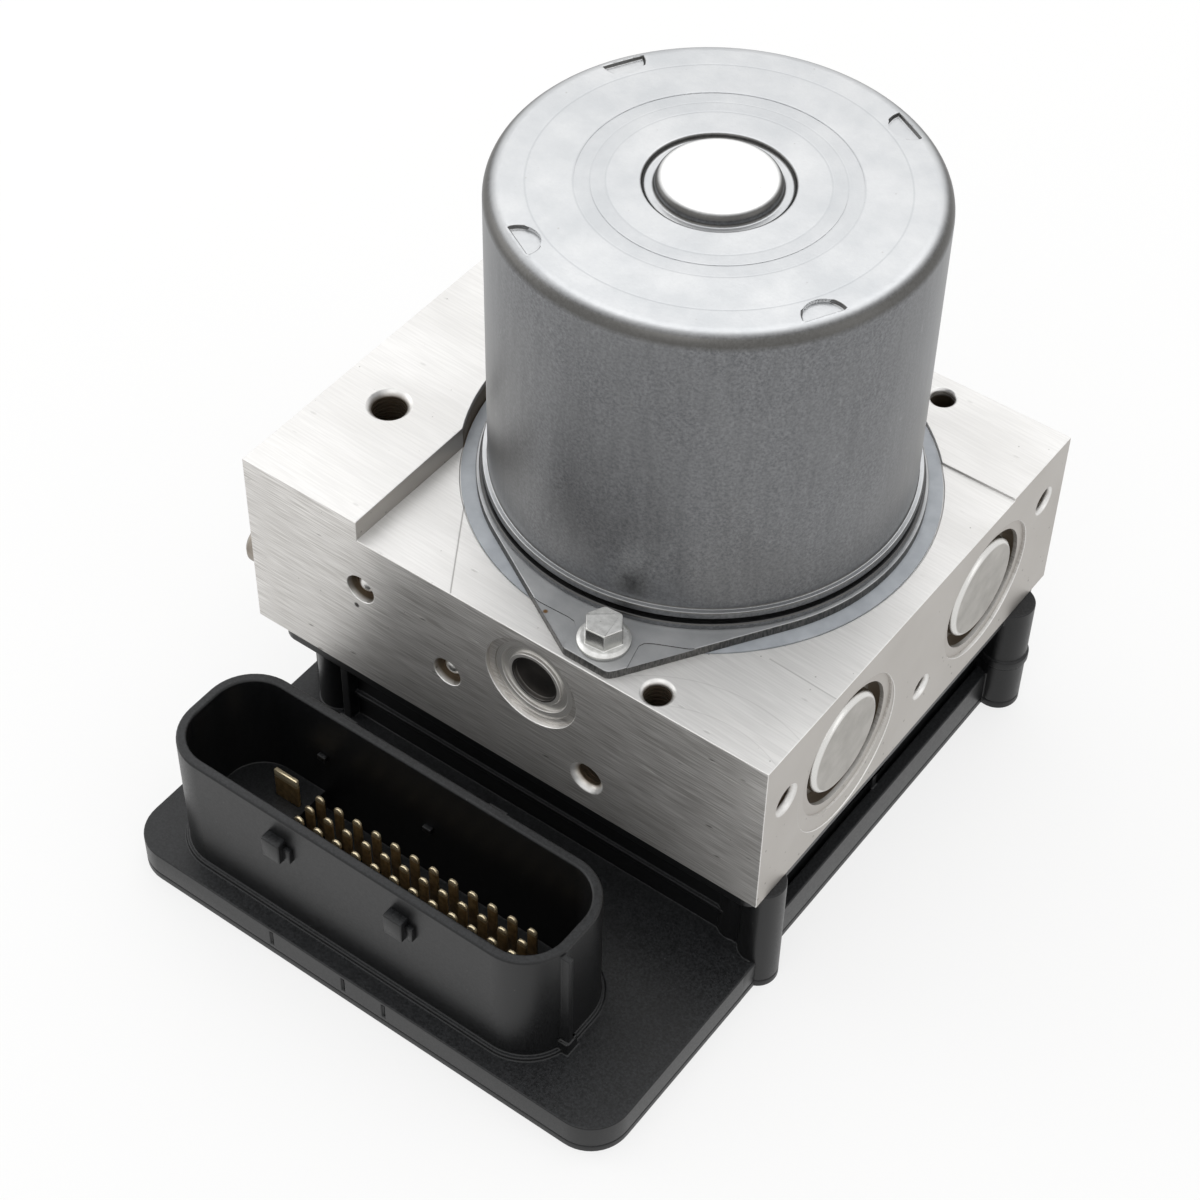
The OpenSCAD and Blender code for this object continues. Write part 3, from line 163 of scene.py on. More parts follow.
def new_finish(name, code, metallic, roughness):
    """A material with its Principled shader set, and the Object coordinates in metres."""
    material = bpy.data.materials.new(name)
    material.use_nodes = True
    tree = material.node_tree
    shader = tree.nodes["Principled BSDF"]
    shader.inputs["Base Color"].default_value = colour(code)
    shader.inputs["Metallic"].default_value = metallic
    shader.inputs["Roughness"].default_value = roughness
    place = add(tree, "TexCoord", out="Object")
    return material, tree, shader, place


# %% [markdown]
# ## Patterns measured in millimetres
# Metal and plastic surfaces differ mostly in their fine pattern: streaks from a cutter, grain
# from a mould, pits and specks from handling. Each helper here takes the real size of its
# pattern in millimetres and turns it into the scale of a texture.


# %% Coordinates and noise
def laid(place, centre=(0, 0, 0), stretch=(1, 1, 1), turn=(0, 0, 0)):
    """What a Mapping node takes: coordinates from a centre, turned in degrees and stretched."""
    angles = [math.radians(angle) for angle in turn]
    return {"Vector": place, "Location": centre, "Rotation": angles, "Scale": stretch}


def patches(place, size_mm, detail=3.0, rough=0.55):
    """What a Noise Texture takes for soft patches about size_mm across."""
    return {"Vector": place, "Scale": 1 / (size_mm * MM), "Detail": detail, "Roughness": rough}


# %% [markdown]
# ## Specks and relief
# Specks come from a Voronoi texture, which scatters one point in every cell. Relief is only drawn
# where it is finer than the mesh could hold, and it says its depth in millimetres too.


# %% Specks and relief
def dots(tree, place, spacing_mm, radius_mm, share):
    """Small round specks: one point in each cell, and only some of the cells show it."""
    away = add(tree, "TexVoronoi", {"Vector": place, "Scale": 1 / (spacing_mm * MM)})
    chosen = add(tree, "SeparateColor", [away.node.outputs["Color"]])
    reach = radius_mm / spacing_mm
    near = add(tree, "MapRange", [away, reach, reach * 0.4])
    some = add(tree, "Math", [chosen, share], operation="LESS_THAN")
    return add(tree, "Math", [near, some], operation="MULTIPLY")


def relief(tree, shader, height, depth_mm):
    """Fine relief, whose height from 0 to 1 is worth depth_mm."""
    bump = add(tree, "Bump", {"Height": height, "Distance": depth_mm * MM})
    tree.links.new(bump, shader.inputs["Normal"])


def join(tree, shader, name, socket):
    tree.links.new(socket, shader.inputs[name])


# %% [markdown]
# ## Distances, rings and lines
# Some marks have a fixed place: a ring around the motor axis, a scribed line, a punch mark. Each
# is drawn from the distance of a point of the surface to that place.


# %% Distances, rings and lines
def away_from(tree, place, point):
    """Distance in metres from a point."""
    return add(tree, "VectorMath", [place, point], out="Value", operation="DISTANCE")


def radius_from(tree, place, x, y):
    """Distance in metres from an upright axis through x and y."""
    flat = add(tree, "VectorMath", [place, (1, 1, 0)], operation="MULTIPLY")
    return away_from(tree, flat, (x, y, 0))


def ring_line(tree, radius, at_mm, width_mm):
    """1 on a circle of that radius, falling to 0 at the width."""
    off = add(tree, "Math", [radius, at_mm * MM], operation="SUBTRACT")
    off = add(tree, "Math", [off], operation="ABSOLUTE")
    return add(tree, "MapRange", [off, width_mm * MM, 0])


def scribed_line(tree, place, a, b, width_mm):
    """1 on the line from a to b, given in mm on the top face, falling to 0 at the width."""
    ax, ay, bx, by = (v * MM for v in (*a, *b))
    length = math.hypot(bx - ax, by - ay)
    angle = math.degrees(math.atan2(by - ay, bx - ax))
    along = laid(place, (ax, ay, 0), turn=(0, 0, angle))
    turned = add(tree, "Mapping", along, vector_type="TEXTURE")
    x, y, z = add(tree, "SeparateXYZ", [turned]).node.outputs
    off = add(tree, "Math", [y], operation="ABSOLUTE")
    off = add(tree, "MapRange", [off, width_mm * MM, 0])
    after = add(tree, "Math", [x, 0.0], operation="GREATER_THAN")
    before = add(tree, "Math", [x, length], operation="LESS_THAN")
    inside = add(tree, "Math", [after, before], operation="MULTIPLY")
    return add(tree, "Math", [off, inside], operation="MULTIPLY")


# %% [markdown]
# ## Tones and directions
# Most finishes mix two tones by a pattern, and then lay stains over them. Where a tool reached
# only one side of a piece, the direction of the surface tells which side it is.


# %% Tones and directions
def two_tone(tree, pattern, low, high, first, second, most=1.0):
    """Two colours that follow a pattern: the first below low, the second above high."""
    share = add(tree, "MapRange", [pattern, low, high, 0, most])
    return add(tree, "Mix", {0: share, 6: first, 7: second}, **COLOURS)


def stained(tree, tone, where, strength, stain):
    """A colour laid over another one where a pattern says so, at part strength."""
    share = add(tree, "Math", [where, strength], operation="MULTIPLY")
    return add(tree, "Mix", {0: share, 6: tone, 7: stain}, **COLOURS)


def plus_part(tree, value, other, part):
    """A value with a part of another one added."""
    part = add(tree, "Math", [other, part], operation="MULTIPLY")
    return add(tree, "Math", [value, part], operation="ADD")


def facing(tree, axis):
    """The surface's own direction along one axis, from -1 to 1."""
    normal = add(tree, "NewGeometry", out="Normal")
    return add(tree, "SeparateXYZ", [normal], out=axis)


def facing_either(tree, axis, low, high):
    """0 to 1 as the surface turns towards either end of an axis, from one cosine to another."""
    cosine = add(tree, "Math", [facing(tree, axis)], operation="ABSOLUTE")
    return add(tree, "MapRange", [cosine, low, high])


# %% [markdown]
# ## Milled aluminium of the block
# The block is a sawn bar of wrought aluminium, milled on its faces. The cutter leaves fine
# parallel streaks, and handling leaves pits, specks and a few longer scratches. The streaks run
# along X on the top and the front; the side faces show them end on, as a fine grain. A metal
# keeps the default IOR, and the look comes from the roughness and a very shallow relief.

# %% Marks and depth of the block
SCRIBED_FROM_TO = (((43.6, -6.5), (58.3, -7.2)), ((-23.1, -6.6), (-9.8, -27.8)))
ARC_CENTRE = (0.047, -0.047)
ARC_RADII = (19.0, 24.0, 30.5)
PUNCH_AT = (-0.0323, -0.0280, 0.0470)
PUMP_SEAT_RADIUS = 10.4 * MM
CAP_SEAT_DEPTH = 1.5 * MM


def top_marks(tree, place):
    """Two scribed lines, and three arcs that the end of the cutter left near the front hole."""
    first, second = (scribed_line(tree, place, a, b, 0.2) for a, b in SCRIBED_FROM_TO)
    lines = add(tree, "Math", [
        add(tree, "Math", [first, 0.6], operation="MULTIPLY"), second
    ], operation="MAXIMUM")
    arcs = None
    for reach in ARC_RADII:
        arc = ring_line(tree, radius_from(tree, place, *ARC_CENTRE), reach, 0.16)
        arcs = arc if arcs is None else add(tree, "Math", [arcs, arc], operation="MAXIMUM")
    return add(tree, "Math", [
        lines, add(tree, "Math", [arcs, 0.25], operation="MULTIPLY")
    ], operation="MAXIMUM")


def depth_in_block(tree, x, y, z):
    """How deep a point lies inside the block, in metres, from the nearest outer face."""
    on_bar = add(tree, "Math", [x, bar_edge_x], operation="LESS_THAN")
    lid = add(tree, "Math", [
        add(tree, "Math", [on_bar, bar_z - top_z], operation="MULTIPLY"), top_z
    ], operation="ADD")
    depth = add(tree, "Math", [lid, z], operation="SUBTRACT")
    faces = (x, block_high.x), (x, block_low.x), (y, back_y), (y, front_y), (z, block_low.z)
    for near, far in faces:
        gap = add(tree, "Math", [near, far], operation="SUBTRACT")
        depth = add(tree, "Math", [
            depth, add(tree, "Math", [gap], operation="ABSOLUTE")
        ], operation="MINIMUM")
    return depth


# %% [markdown]
# ## The finish of the block
# The finely cut top scatters the light and looks nearly like matt paint. The drawn front mirrors
# more and shows its streaks, and the sawn sides are duller and carry a painted shade. The bores carry a
# brownish painted shade.


# %% Milled aluminium
def milled_aluminium():
    material, tree, shader, place = new_finish("milled_aluminium", "#E2E1DE", 1.0, 0.28)
    up = add(tree, "MapRange", [facing(tree, "Z"), 0.9, 0.99])
    front = facing_either(tree, "Y", 0.8, 0.98)
    side = facing_either(tree, "X", 0.7, 0.95)
    # fine cutter streaks 26 mm long and 0.2 to 0.4 mm wide, a little aslant
    streak_place = add(
        tree, "Mapping", laid(place, stretch=(26, 0.4, 0.2), turn=(0, 1.2, -3)), vector_type="TEXTURE"
    )
    streak = add(tree, "TexNoise", {"Vector": streak_place, "Scale": 1 / MM, "Detail": 1.5})
    # broad patches where the cutter pressed harder, 16 mm across and twice as long
    patch_place = add(tree, "Mapping", laid(place, stretch=(2.0, 1, 1)), vector_type="TEXTURE")
    patch = add(tree, "TexNoise", patches(patch_place, 16, 3.0))
    # dents 2 mm long that lie along the streaks, and round specks of 0.4 mm
    dent_place = add(
        tree,
        "Mapping",
        laid(place, (0.01, 0.02, 0.03), stretch=(3.2, 1, 1), turn=(0, -8, 0)),
        vector_type="TEXTURE",
    )
    dents = dots(tree, dent_place, 2.4, 0.3, 0.4)
    speck_place = add(
        tree, "Mapping", laid(place, (0.1, 0.2, 0.3), turn=(20, 30, 10)), vector_type="TEXTURE"
    )
    specks = dots(tree, speck_place, 2.3, 0.2, 0.25)
    # short bright scratches 5 mm long, which show where the face mirrors something dark
    scratch_place = add(
        tree, "Mapping", laid(place, stretch=(4.5, 0.5, 0.35), turn=(0, 9, 0)), vector_type="TEXTURE"
    )
    scratch = add(tree, "TexNoise", {"Vector": scratch_place, "Scale": 0.8 / MM, "Detail": 2.0})
    scratch = add(tree, "Math", [
        add(tree, "MapRange", [scratch, 0.66, 0.74]), front
    ], operation="MULTIPLY")
    # a punch mark of 1 mm left of the second drilling
    punch = add(tree, "MapRange", [away_from(tree, place, PUNCH_AT), 0.7 * MM, 0.4 * MM])
    x, y, z = add(tree, "SeparateXYZ", [place]).node.outputs
    # painted shade: points more than 0.35 mm inside the block turn darker
    bore_shade = add(tree, "MapRange", [depth_in_block(tree, x, y, z), 0.35 * MM, 1.4 * MM])
    # the wide turned seats of the pump and of the caps are kept out of the painted bore shade
    from_side = add(tree, "CombineXYZ", {0: x, 2: z})
    pump_radius = away_from(tree, from_side, pump_centre)
    at_pump = add(tree, "Math", [pump_radius, PUMP_SEAT_RADIUS], operation="LESS_THAN")
    at_cap = add(tree, "Math", [x, block_high.x - CAP_SEAT_DEPTH], operation="GREATER_THAN")
    bright = add(tree, "Math", [
        add(tree, "Math", [at_pump, at_cap], operation="MAXIMUM"), 0.7
    ], operation="MULTIPLY")
    bore_shade = add(tree, "Math", [
        bore_shade, add(tree, "Math", [1.0, bright], operation="SUBTRACT")
    ], operation="MULTIPLY")
    marks = add(tree, "Math", [top_marks(tree, place), up], operation="MULTIPLY")
    tone = two_tone(tree, streak, 0.36, 0.64, "#E4E3E1", "#EDECEA")
    # the milled front shows its streaks far more than the top, which was finished with a fine cut
    drawn = two_tone(tree, streak, 0.34, 0.66, "#BBB8B4", "#E6E4E1")
    tone = add(tree, "Mix", {0: front, 6: tone, 7: drawn}, **COLOURS)
    tone = two_tone(tree, patch, 0.4, 0.7, tone, "#CFCDCA", 0.3)
    # the sawn side faces are duller, and a painted shade makes them darker and a little warmer than the
    # milled ones
    tone = stained(tree, tone, side, 0.8, "#A8A39D")
    upright = add(tree, "Math", [front, side], operation="ADD")
    dark = add(tree, "Math", [
        dents, add(tree, "MapRange", [upright, 0, 1, 0.15, 0.7])
    ], operation="MULTIPLY")
    dark = add(tree, "Math", [
        dark, add(tree, "Math", [specks, 0.5], operation="MULTIPLY")
    ], operation="MAXIMUM")
    dark = add(tree, "Math", [
        dark, add(tree, "Math", [marks, 0.6], operation="MULTIPLY")
    ], operation="MAXIMUM")
    tone = add(tree, "Mix", {0: dark, 6: tone, 7: "#5E5A55"}, **COLOURS)
    tone = stained(tree, tone, scratch, 0.14, "#FBFAF8")
    # painted shade: the bores and threads are painted brownish and darker
    tone = add(tree, "Mix", {0: bore_shade, 6: tone, 7: "#75695A"}, **COLOURS)
    tone = add(tree, "Mix", {0: punch, 6: tone, 7: "#3A3733"}, **COLOURS)
    join(tree, shader, "Base Color", tone)
    # the finely cut top scatters light like matt paint in part, the drawn front far less
    outside = add(tree, "Math", [1.0, bore_shade], operation="SUBTRACT")
    fine_cut = add(tree, "Math", [up, outside], operation="MULTIPLY")
    join(tree, shader, "Metallic", add(tree, "MapRange", [fine_cut, 0, 1, 0.8, 0.42]))
    rough = add(tree, "MapRange", [streak, 0.3, 0.7, 0.34, 0.4])
    rough = plus_part(tree, rough, up, 0.08)
    rough = add(tree, "Math", [
        rough, add(tree, "MapRange", [patch, 0.3, 0.7, -0.03, 0.06])
    ], operation="ADD")
    rough = plus_part(tree, rough, side, 0.1)
    rough = plus_part(tree, rough, scratch, 0.12)
    join(tree, shader, "Roughness", rough)
    height = add(tree, "Math", [
        streak, add(tree, "MapRange", [front, 0, 1, 0.04, 0.32])
    ], operation="MULTIPLY")
    height = add(tree, "Math", [
        height, add(tree, "Math", [1.0, at_pump], operation="SUBTRACT")
    ], operation="MULTIPLY")
    height = plus_part(tree, height, scratch, -0.25)
    height = add(tree, "Math", [
        height, add(tree, "Math", [dents, specks], operation="ADD")
    ], operation="SUBTRACT")
    height = add(tree, "Math", [height, marks], operation="SUBTRACT")
    relief(tree, shader, height, 0.035)
    return material


block_finish = milled_aluminium()
print("made", block_finish.name)

# %% [markdown]
# ## Drawn steel of the motor can
# The can is drawn from zinc plated steel sheet. Its wall slid through the die, which leaves it
# dull with soft upright streaks; it is painted darker grey as painted shade. Its top was coined
# against a stop, with faint rings around the dome where the tool steps; it is painted lighter as
# painted light. The change of tone follows the direction of the surface itself, so it stays put when the
# unit turns.


# %% Drawn steel
# radius and width in mm of the four fine rings that the stop of the press left
CROWN_RINGS = ((18.9, 0.28), (21.5, 0.24), (24.3, 0.3), (32.3, 0.26))
DOME_RADIUS = 10.3 * MM
GROOVE_UP, BEAD_UP = 1.7 * MM, 3.65 * MM


def drawn_can_steel():
    material, tree, shader, place = new_finish("drawn_zinc_plated_steel", "#B9BABB", 1.0, 0.36)
    radius = radius_from(tree, place, axis_x, axis_y)
    slope = facing(tree, "Z")
    # painted light and shade: faces that look up take the lighter crown tone, upright faces the darker
    # wall tone
    top = add(tree, "MapRange", [slope, 0.78, 0.97])
    # upright draw streaks 14 mm long and 1.6 mm wide, and a spangle of grains about 0.5 mm wide
    streak_place = add(tree, "Mapping", laid(place, stretch=(1.6, 1.6, 14)), vector_type="TEXTURE")
    streak = add(tree, "TexNoise", {"Vector": streak_place, "Scale": 1 / MM, "Detail": 3.0})
    mottle = add(tree, "TexNoise", patches(place, 11, 4.0, 0.6))
    grain = add(tree, "TexNoise", patches(place, 0.55, 3.0, 0.7))
    shaded_wall_tone = two_tone(tree, grain, 0.36, 0.64, "#67686A", "#858688")
    shaded_wall_tone = two_tone(tree, mottle, 0.35, 0.65, shaded_wall_tone, "#7E7F80", 0.35)
    shaded_wall_tone = two_tone(tree, streak, 0.45, 0.75, shaded_wall_tone, "#5C5D5F", 0.25)
    # rubbed scuffs 3 mm long low on the wall, and along the edge below the top
    scuff_place = add(
        tree, "Mapping", laid(place, stretch=(1, 1, 2.6), turn=(14, 10, 0)), vector_type="TEXTURE"
    )
    scuff = add(tree, "TexNoise", {"Vector": scuff_place, "Scale": 0.75 / MM, "Detail": 2.0})
    scuff = add(tree, "Math", [add(tree, "MapRange", [scuff, 0.66, 0.74]), 0.12], operation="MULTIPLY")
    shaded_wall_tone = add(tree, "Mix", {0: scuff, 6: shaded_wall_tone, 7: "#B4B5B6"}, **COLOURS)
    lit_crown_tone = two_tone(tree, mottle, 0.35, 0.7, "#BBBDBF", "#C9CACB")
    lit_crown_tone = two_tone(tree, grain, 0.5, 0.8, lit_crown_tone, "#BFC1C3", 0.25)
    # the sheet between the first and the third ring is a shade darker
    shade = None
    for at, width in CROWN_RINGS:
        ring = ring_line(tree, radius, at, width)
        shade = ring if shade is None else add(tree, "Math", [shade, ring], operation="MAXIMUM")
    outside = add(tree, "Math", [radius, CROWN_RINGS[0][0] * MM], operation="GREATER_THAN")
    band = add(tree, "Math", [
        outside, add(tree, "Math", [radius, CROWN_RINGS[2][0] * MM], operation="LESS_THAN")
    ], operation="MULTIPLY")
    band = add(tree, "Math", [band, 0.18], operation="MULTIPLY")
    tint = add(tree, "Math", [
        add(tree, "Math", [shade, 0.4], operation="MULTIPLY"), band
    ], operation="MAXIMUM")
    lit_crown_tone = add(tree, "Mix", {0: tint, 6: lit_crown_tone, 7: "#A4A7AA"}, **COLOURS)
    dome = add(tree, "Math", [radius, DOME_RADIUS], operation="LESS_THAN")
    lit_crown_tone = add(tree, "Mix", {0: dome, 6: lit_crown_tone, 7: "#E6E6E5"}, **COLOURS)
    specks = dots(tree, place, 3.0, 0.24, 0.3)
    # painted light on the top and painted shade on the wall, chosen by the direction of the surface
    tone = add(tree, "Mix", {0: top, 6: shaded_wall_tone, 7: lit_crown_tone}, **COLOURS)
    # dirt and shade sit in the groove between the rim and the bead, and above the bead
    height_up = add(tree, "SeparateXYZ", [place], out=2)
    foot = can_low.z
    off = add(tree, "Math", [height_up, foot + GROOVE_UP], operation="SUBTRACT")
    off = add(tree, "Math", [off], operation="ABSOLUTE")
    groove = add(tree, "Math", [off, 0.55 * MM], operation="LESS_THAN")
    above = add(tree, "MapRange", [height_up, foot + 5.2 * MM, foot + 3.7 * MM, 0, 0.55])
    over_bead = add(tree, "Math", [height_up, foot + BEAD_UP], operation="GREATER_THAN")
    above = add(tree, "Math", [above, over_bead], operation="MULTIPLY")
    tone = add(tree, "Mix", {
        0: add(tree, "Math", [groove, above], operation="MAXIMUM"), 6: tone, 7: "#565657"
    }, **COLOURS)
    # painted shade: the rounded corner between top and wall is painted darker, and brown specks show more
    # there
    corner = add(tree, "MapRange", [slope, 0.08, 0.4])
    corner = add(tree, "Math", [
        corner, add(tree, "MapRange", [slope, 0.92, 0.7])
    ], operation="MULTIPLY")
    tone = stained(tree, tone, corner, 0.75, "#55534F")
    specks = add(tree, "Math", [
        specks, add(tree, "MapRange", [corner, 0, 1, 0.3, 0.7])
    ], operation="MULTIPLY")
    tone = add(tree, "Mix", {0: specks, 6: tone, 7: "#7C746A"}, **COLOURS)
    join(tree, shader, "Base Color", tone)
    rough = add(tree, "MapRange", [grain, 0.3, 0.7, 0.33, 0.43])
    join(tree, shader, "Roughness", rough)
    rough_skin = add(tree, "Math", [grain, 0.5], operation="MULTIPLY")
    height = add(tree, "Math", [
        add(tree, "Math", [streak, 0.3], operation="MULTIPLY"), rough_skin
    ], operation="ADD")
    height = add(tree, "Math", [
        height, add(tree, "Math", [shade, 0.5], operation="MULTIPLY")
    ], operation="SUBTRACT")
    relief(tree, shader, height, 0.03)
    return material


can_finish = drawn_can_steel()
print("made", can_finish.name)

# %% [markdown]
# ## Smaller metal finishes
# Turned, plated, ground and polished metals differ in colour, in roughness and in the pattern
# that the tool leaves. One function gives a plated or tumbled piece its soft cloudy sheen. A
# second one makes the pump plug, where a lathe left rings around the axis. Their pitch is drawn
# at 0.3 mm, coarser than the real 0.1 mm, so that they show at all in the picture.


# %% Metal finish function
def plain_metal(name, code, roughness, cloud_mm=3.0, darker="#777777", wear=0.3, relief_mm=0.015):
    """Ground, drawn or plated metal with a soft cloudy sheen."""
    material, tree, shader, place = new_finish(name, code, 1.0, roughness)
    patch = add(tree, "TexNoise", patches(place, cloud_mm, 4.0))
    tone = two_tone(tree, patch, 0.4, 0.75, code, darker, wear)
    join(tree, shader, "Base Color", tone)
    rough = add(tree, "MapRange", [patch, 0.3, 0.7, roughness - 0.05, roughness + 0.07])
    join(tree, shader, "Roughness", rough)
    relief(tree, shader, add(tree, "TexNoise", patches(place, 0.3, 2.0)), relief_mm)
    return material


def turned_plug(name, centre, dish_mm):
    """Turned steel with a dark dished disc in the middle, around an axis along Y."""
    pitch = 0.3 * MM
    material, tree, shader, place = new_finish(name, "#C9C7C3", 1.0, 0.3)
    local = add(tree, "VectorMath", [place, centre], operation="SUBTRACT")
    local = add(tree, "VectorMath", [local, (1, 0, 1)], operation="MULTIPLY")
    radius = add(tree, "VectorMath", [local], out="Value", operation="LENGTH")
    rings = add(tree, "Math", [radius, 2 * math.pi / pitch], operation="MULTIPLY")
    rings = add(tree, "Math", [rings], operation="SINE")
    patch = add(tree, "TexNoise", patches(place, 4.0, 3.0))
    dish = add(tree, "Math", [radius, dish_mm * MM], operation="LESS_THAN")
    ring = two_tone(tree, rings, -1, 1, "#D8D6D2", "#B4B1AD", 0.5)
    disc = two_tone(tree, patch, 0.35, 0.7, "#4E4C4A", "#63605D")
    tone = add(tree, "Mix", {0: dish, 6: ring, 7: disc}, **COLOURS)
    join(tree, shader, "Base Color", tone)
    join(tree, shader, "Roughness", add(tree, "MapRange", [dish, 0, 1, 0.3, 0.4]))
    join(tree, shader, "Metallic", add(tree, "MapRange", [dish, 0, 1, 0.75, 1.0]))
    relief(tree, shader, add(tree, "TexNoise", patches(place, 0.4, 2.0)), 0.002)
    return material


# %% [markdown]
# ## Blanked plate and plated bolt
# The flange was blanked from zinc plated sheet. Its faces stay fairly bright, and the sheared
# edge all round is torn and dark. The bolts are bright zinc, with small pits in their tops, and
# their upright faces are painted darker as a painted shade. Both finishes find the edge by the direction
# of the surface.


# %% Blanked plate and plated bolt
RUST_AT = (0.0071, -0.0224, 0.0667)


def plated_bolt():
    """Bright zinc: flat tops scatter the light and are painted lighter, upright faces mirror their
    surroundings and carry a painted shade.
    """
    material, tree, shader, place = new_finish("bright_zinc_plated_bolt", "#E2E2DE", 1.0, 0.3)
    flat = add(tree, "MapRange", [facing(tree, "Z"), 0.5, 0.95])
    patch = add(tree, "TexNoise", patches(place, 1.3, 4.0))
    face = two_tone(tree, patch, 0.35, 0.65, "#F0F0EE", "#D2D2CF")
    # painted light and shade: flat tops take the light tones, upright faces a darker one
    tone = add(tree, "Mix", {0: flat, 6: "#B2B2AF", 7: face}, **COLOURS)
    pits = add(tree, "Math", [dots(tree, place, 1.1, 0.16, 0.3), flat], operation="MULTIPLY")
    tone = stained(tree, tone, pits, 0.5, "#6E6A64")
    join(tree, shader, "Base Color", tone)
    join(tree, shader, "Metallic", add(tree, "MapRange", [flat, 0, 1, 1.0, 0.5]))
    join(tree, shader, "Roughness", add(tree, "MapRange", [flat, 0, 1, 0.26, 0.38]))
    relief(tree, shader, add(tree, "TexNoise", patches(place, 0.4, 2.0)), 0.004)
    return material


def blanked_plate():
    """Zinc plated sheet: fairly bright faces, and a torn, dark sheared edge."""
    material, tree, shader, place = new_finish("blanked_zinc_plated_plate", "#A2A4A5", 1.0, 0.34)
    rust = add(tree, "MapRange", [away_from(tree, place, RUST_AT), 0.6 * MM, 0.35 * MM])
    flat = facing_either(tree, "Z", 0.5, 0.9)
    patch = add(tree, "TexNoise", patches(place, 6.0, 4.0))
    grain_place = add(tree, "Mapping", laid(place, stretch=(1, 1, 4)), vector_type="TEXTURE")
    grain = add(tree, "TexNoise", patches(grain_place, 0.35, 2.0))
    face = two_tone(tree, patch, 0.35, 0.7, "#B9BABB", "#A5A7A9")
    torn = two_tone(tree, grain, 0.35, 0.65, "#4A4A4A", "#6C6B69")
    tone = add(tree, "Mix", {0: flat, 6: torn, 7: face}, **COLOURS)
    dirt = add(tree, "Math", [dots(tree, place, 2.2, 0.2, 0.15), 0.5], operation="MULTIPLY")
    tone = add(tree, "Mix", {0: dirt, 6: tone, 7: "#5E574E"}, **COLOURS)
    # one brown speck of rust, 1 mm across, that the photograph shows
    tone = add(tree, "Mix", {0: rust, 6: tone, 7: "#7A5B38"}, **COLOURS)
    join(tree, shader, "Base Color", tone)
    join(tree, shader, "Roughness", add(tree, "MapRange", [flat, 0, 1, 0.5, 0.38]))
    join(tree, shader, "Metallic", add(tree, "MapRange", [flat, 0, 1, 1.0, 0.45]))
    relief(tree, shader, grain, 0.03)
    return material


# %% [markdown]
# ## A finish for each metal of the record
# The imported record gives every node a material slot. This table holds the finish for each slot
# that is metal, so that a piece and the solid inside it are found under the same name.

# %% Make the smaller metal finishes
finishes = {
    "block_aluminium": block_finish,
    "can_steel": can_finish,
    "pin_steel": plain_metal("ground_steel_pin", "#9A938A", 0.34, 2.0, "#6B625A", 0.5),
    "ball_steel": plain_metal("polished_ball_steel", "#E2E1DE", 0.34, 2.0, "#B4B3B0", 0.3, 0.002),
    "flange_steel": blanked_plate(),
    "bolt_zinc": plated_bolt(),
    "bearing_steel": plain_metal("ground_bearing_steel", "#C9CACB", 0.2, 2.0),
    "shaft_steel": plain_metal("turned_shaft_steel", "#BDBEBF", 0.26, 2.0),
    "core_steel": plain_metal("stacked_core_sheet", "#7E8083", 0.45, 1.0, "#5C5D60", 0.7),
    "cap_steel": turned_plug("turned_steel_plug", pump_centre, 5.0),
    "piston_aluminium": plain_metal("anodised_piston_aluminium", "#B7AD98", 0.35, 2.0),
    "spring_steel": plain_metal("drawn_spring_wire", "#A7A8AA", 0.3, 1.5),
    "valve_steel": plain_metal("stainless_valve_steel", "#C2BEB4", 0.28, 2.0),
    "terminal_brass": plain_metal("drawn_terminal_brass", "#C9A45C", 0.3, 2.0, "#8F7238", 0.5),
    "commutator_copper": plain_metal("turned_commutator_copper", "#C58A62", 0.3, 2.0, "#7B4A30", 0.5),
    "pin_bronze": plain_metal("tinned_bronze_pin", "#A08457", 0.26, 1.5, "#5B4527", 0.6),
}
print("made", len(finishes), "metal finishes")

# %% [markdown]
# ## Blasted accumulator caps
# The two caps face the right side. A ring pattern, as on the pump plug, would not suit them: the
# face of the real cap is bead blasted. It gets a fine even grain, with a brighter worn edge
# where the surface turns away.


# %% Blasted cap steel
def blasted_cap_steel():
    material, tree, shader, place = new_finish("blasted_cap_steel", "#C0BEBA", 1.0, 0.42)
    out = facing_either(tree, "X", 0.9, 0.99)
    patch = add(tree, "TexNoise", patches(place, 4.0, 4.0))
    face = two_tone(tree, patch, 0.35, 0.7, "#B2AFAA", "#A19E99")
    tone = add(tree, "Mix", {0: out, 6: "#DAD9D6", 7: face}, **COLOURS)
    pits = add(tree, "Math", [dots(tree, place, 1.5, 0.16, 0.3), 0.4], operation="MULTIPLY")
    tone = add(tree, "Mix", {0: pits, 6: tone, 7: "#5E5A55"}, **COLOURS)
    join(tree, shader, "Base Color", tone)
    join(tree, shader, "Roughness", add(tree, "MapRange", [out, 0, 1, 0.26, 0.45]))
    relief(tree, shader, add(tree, "TexNoise", patches(place, 0.25, 2.0)), 0.02)
    return material


cap_finish = blasted_cap_steel()
print("made", cap_finish.name)
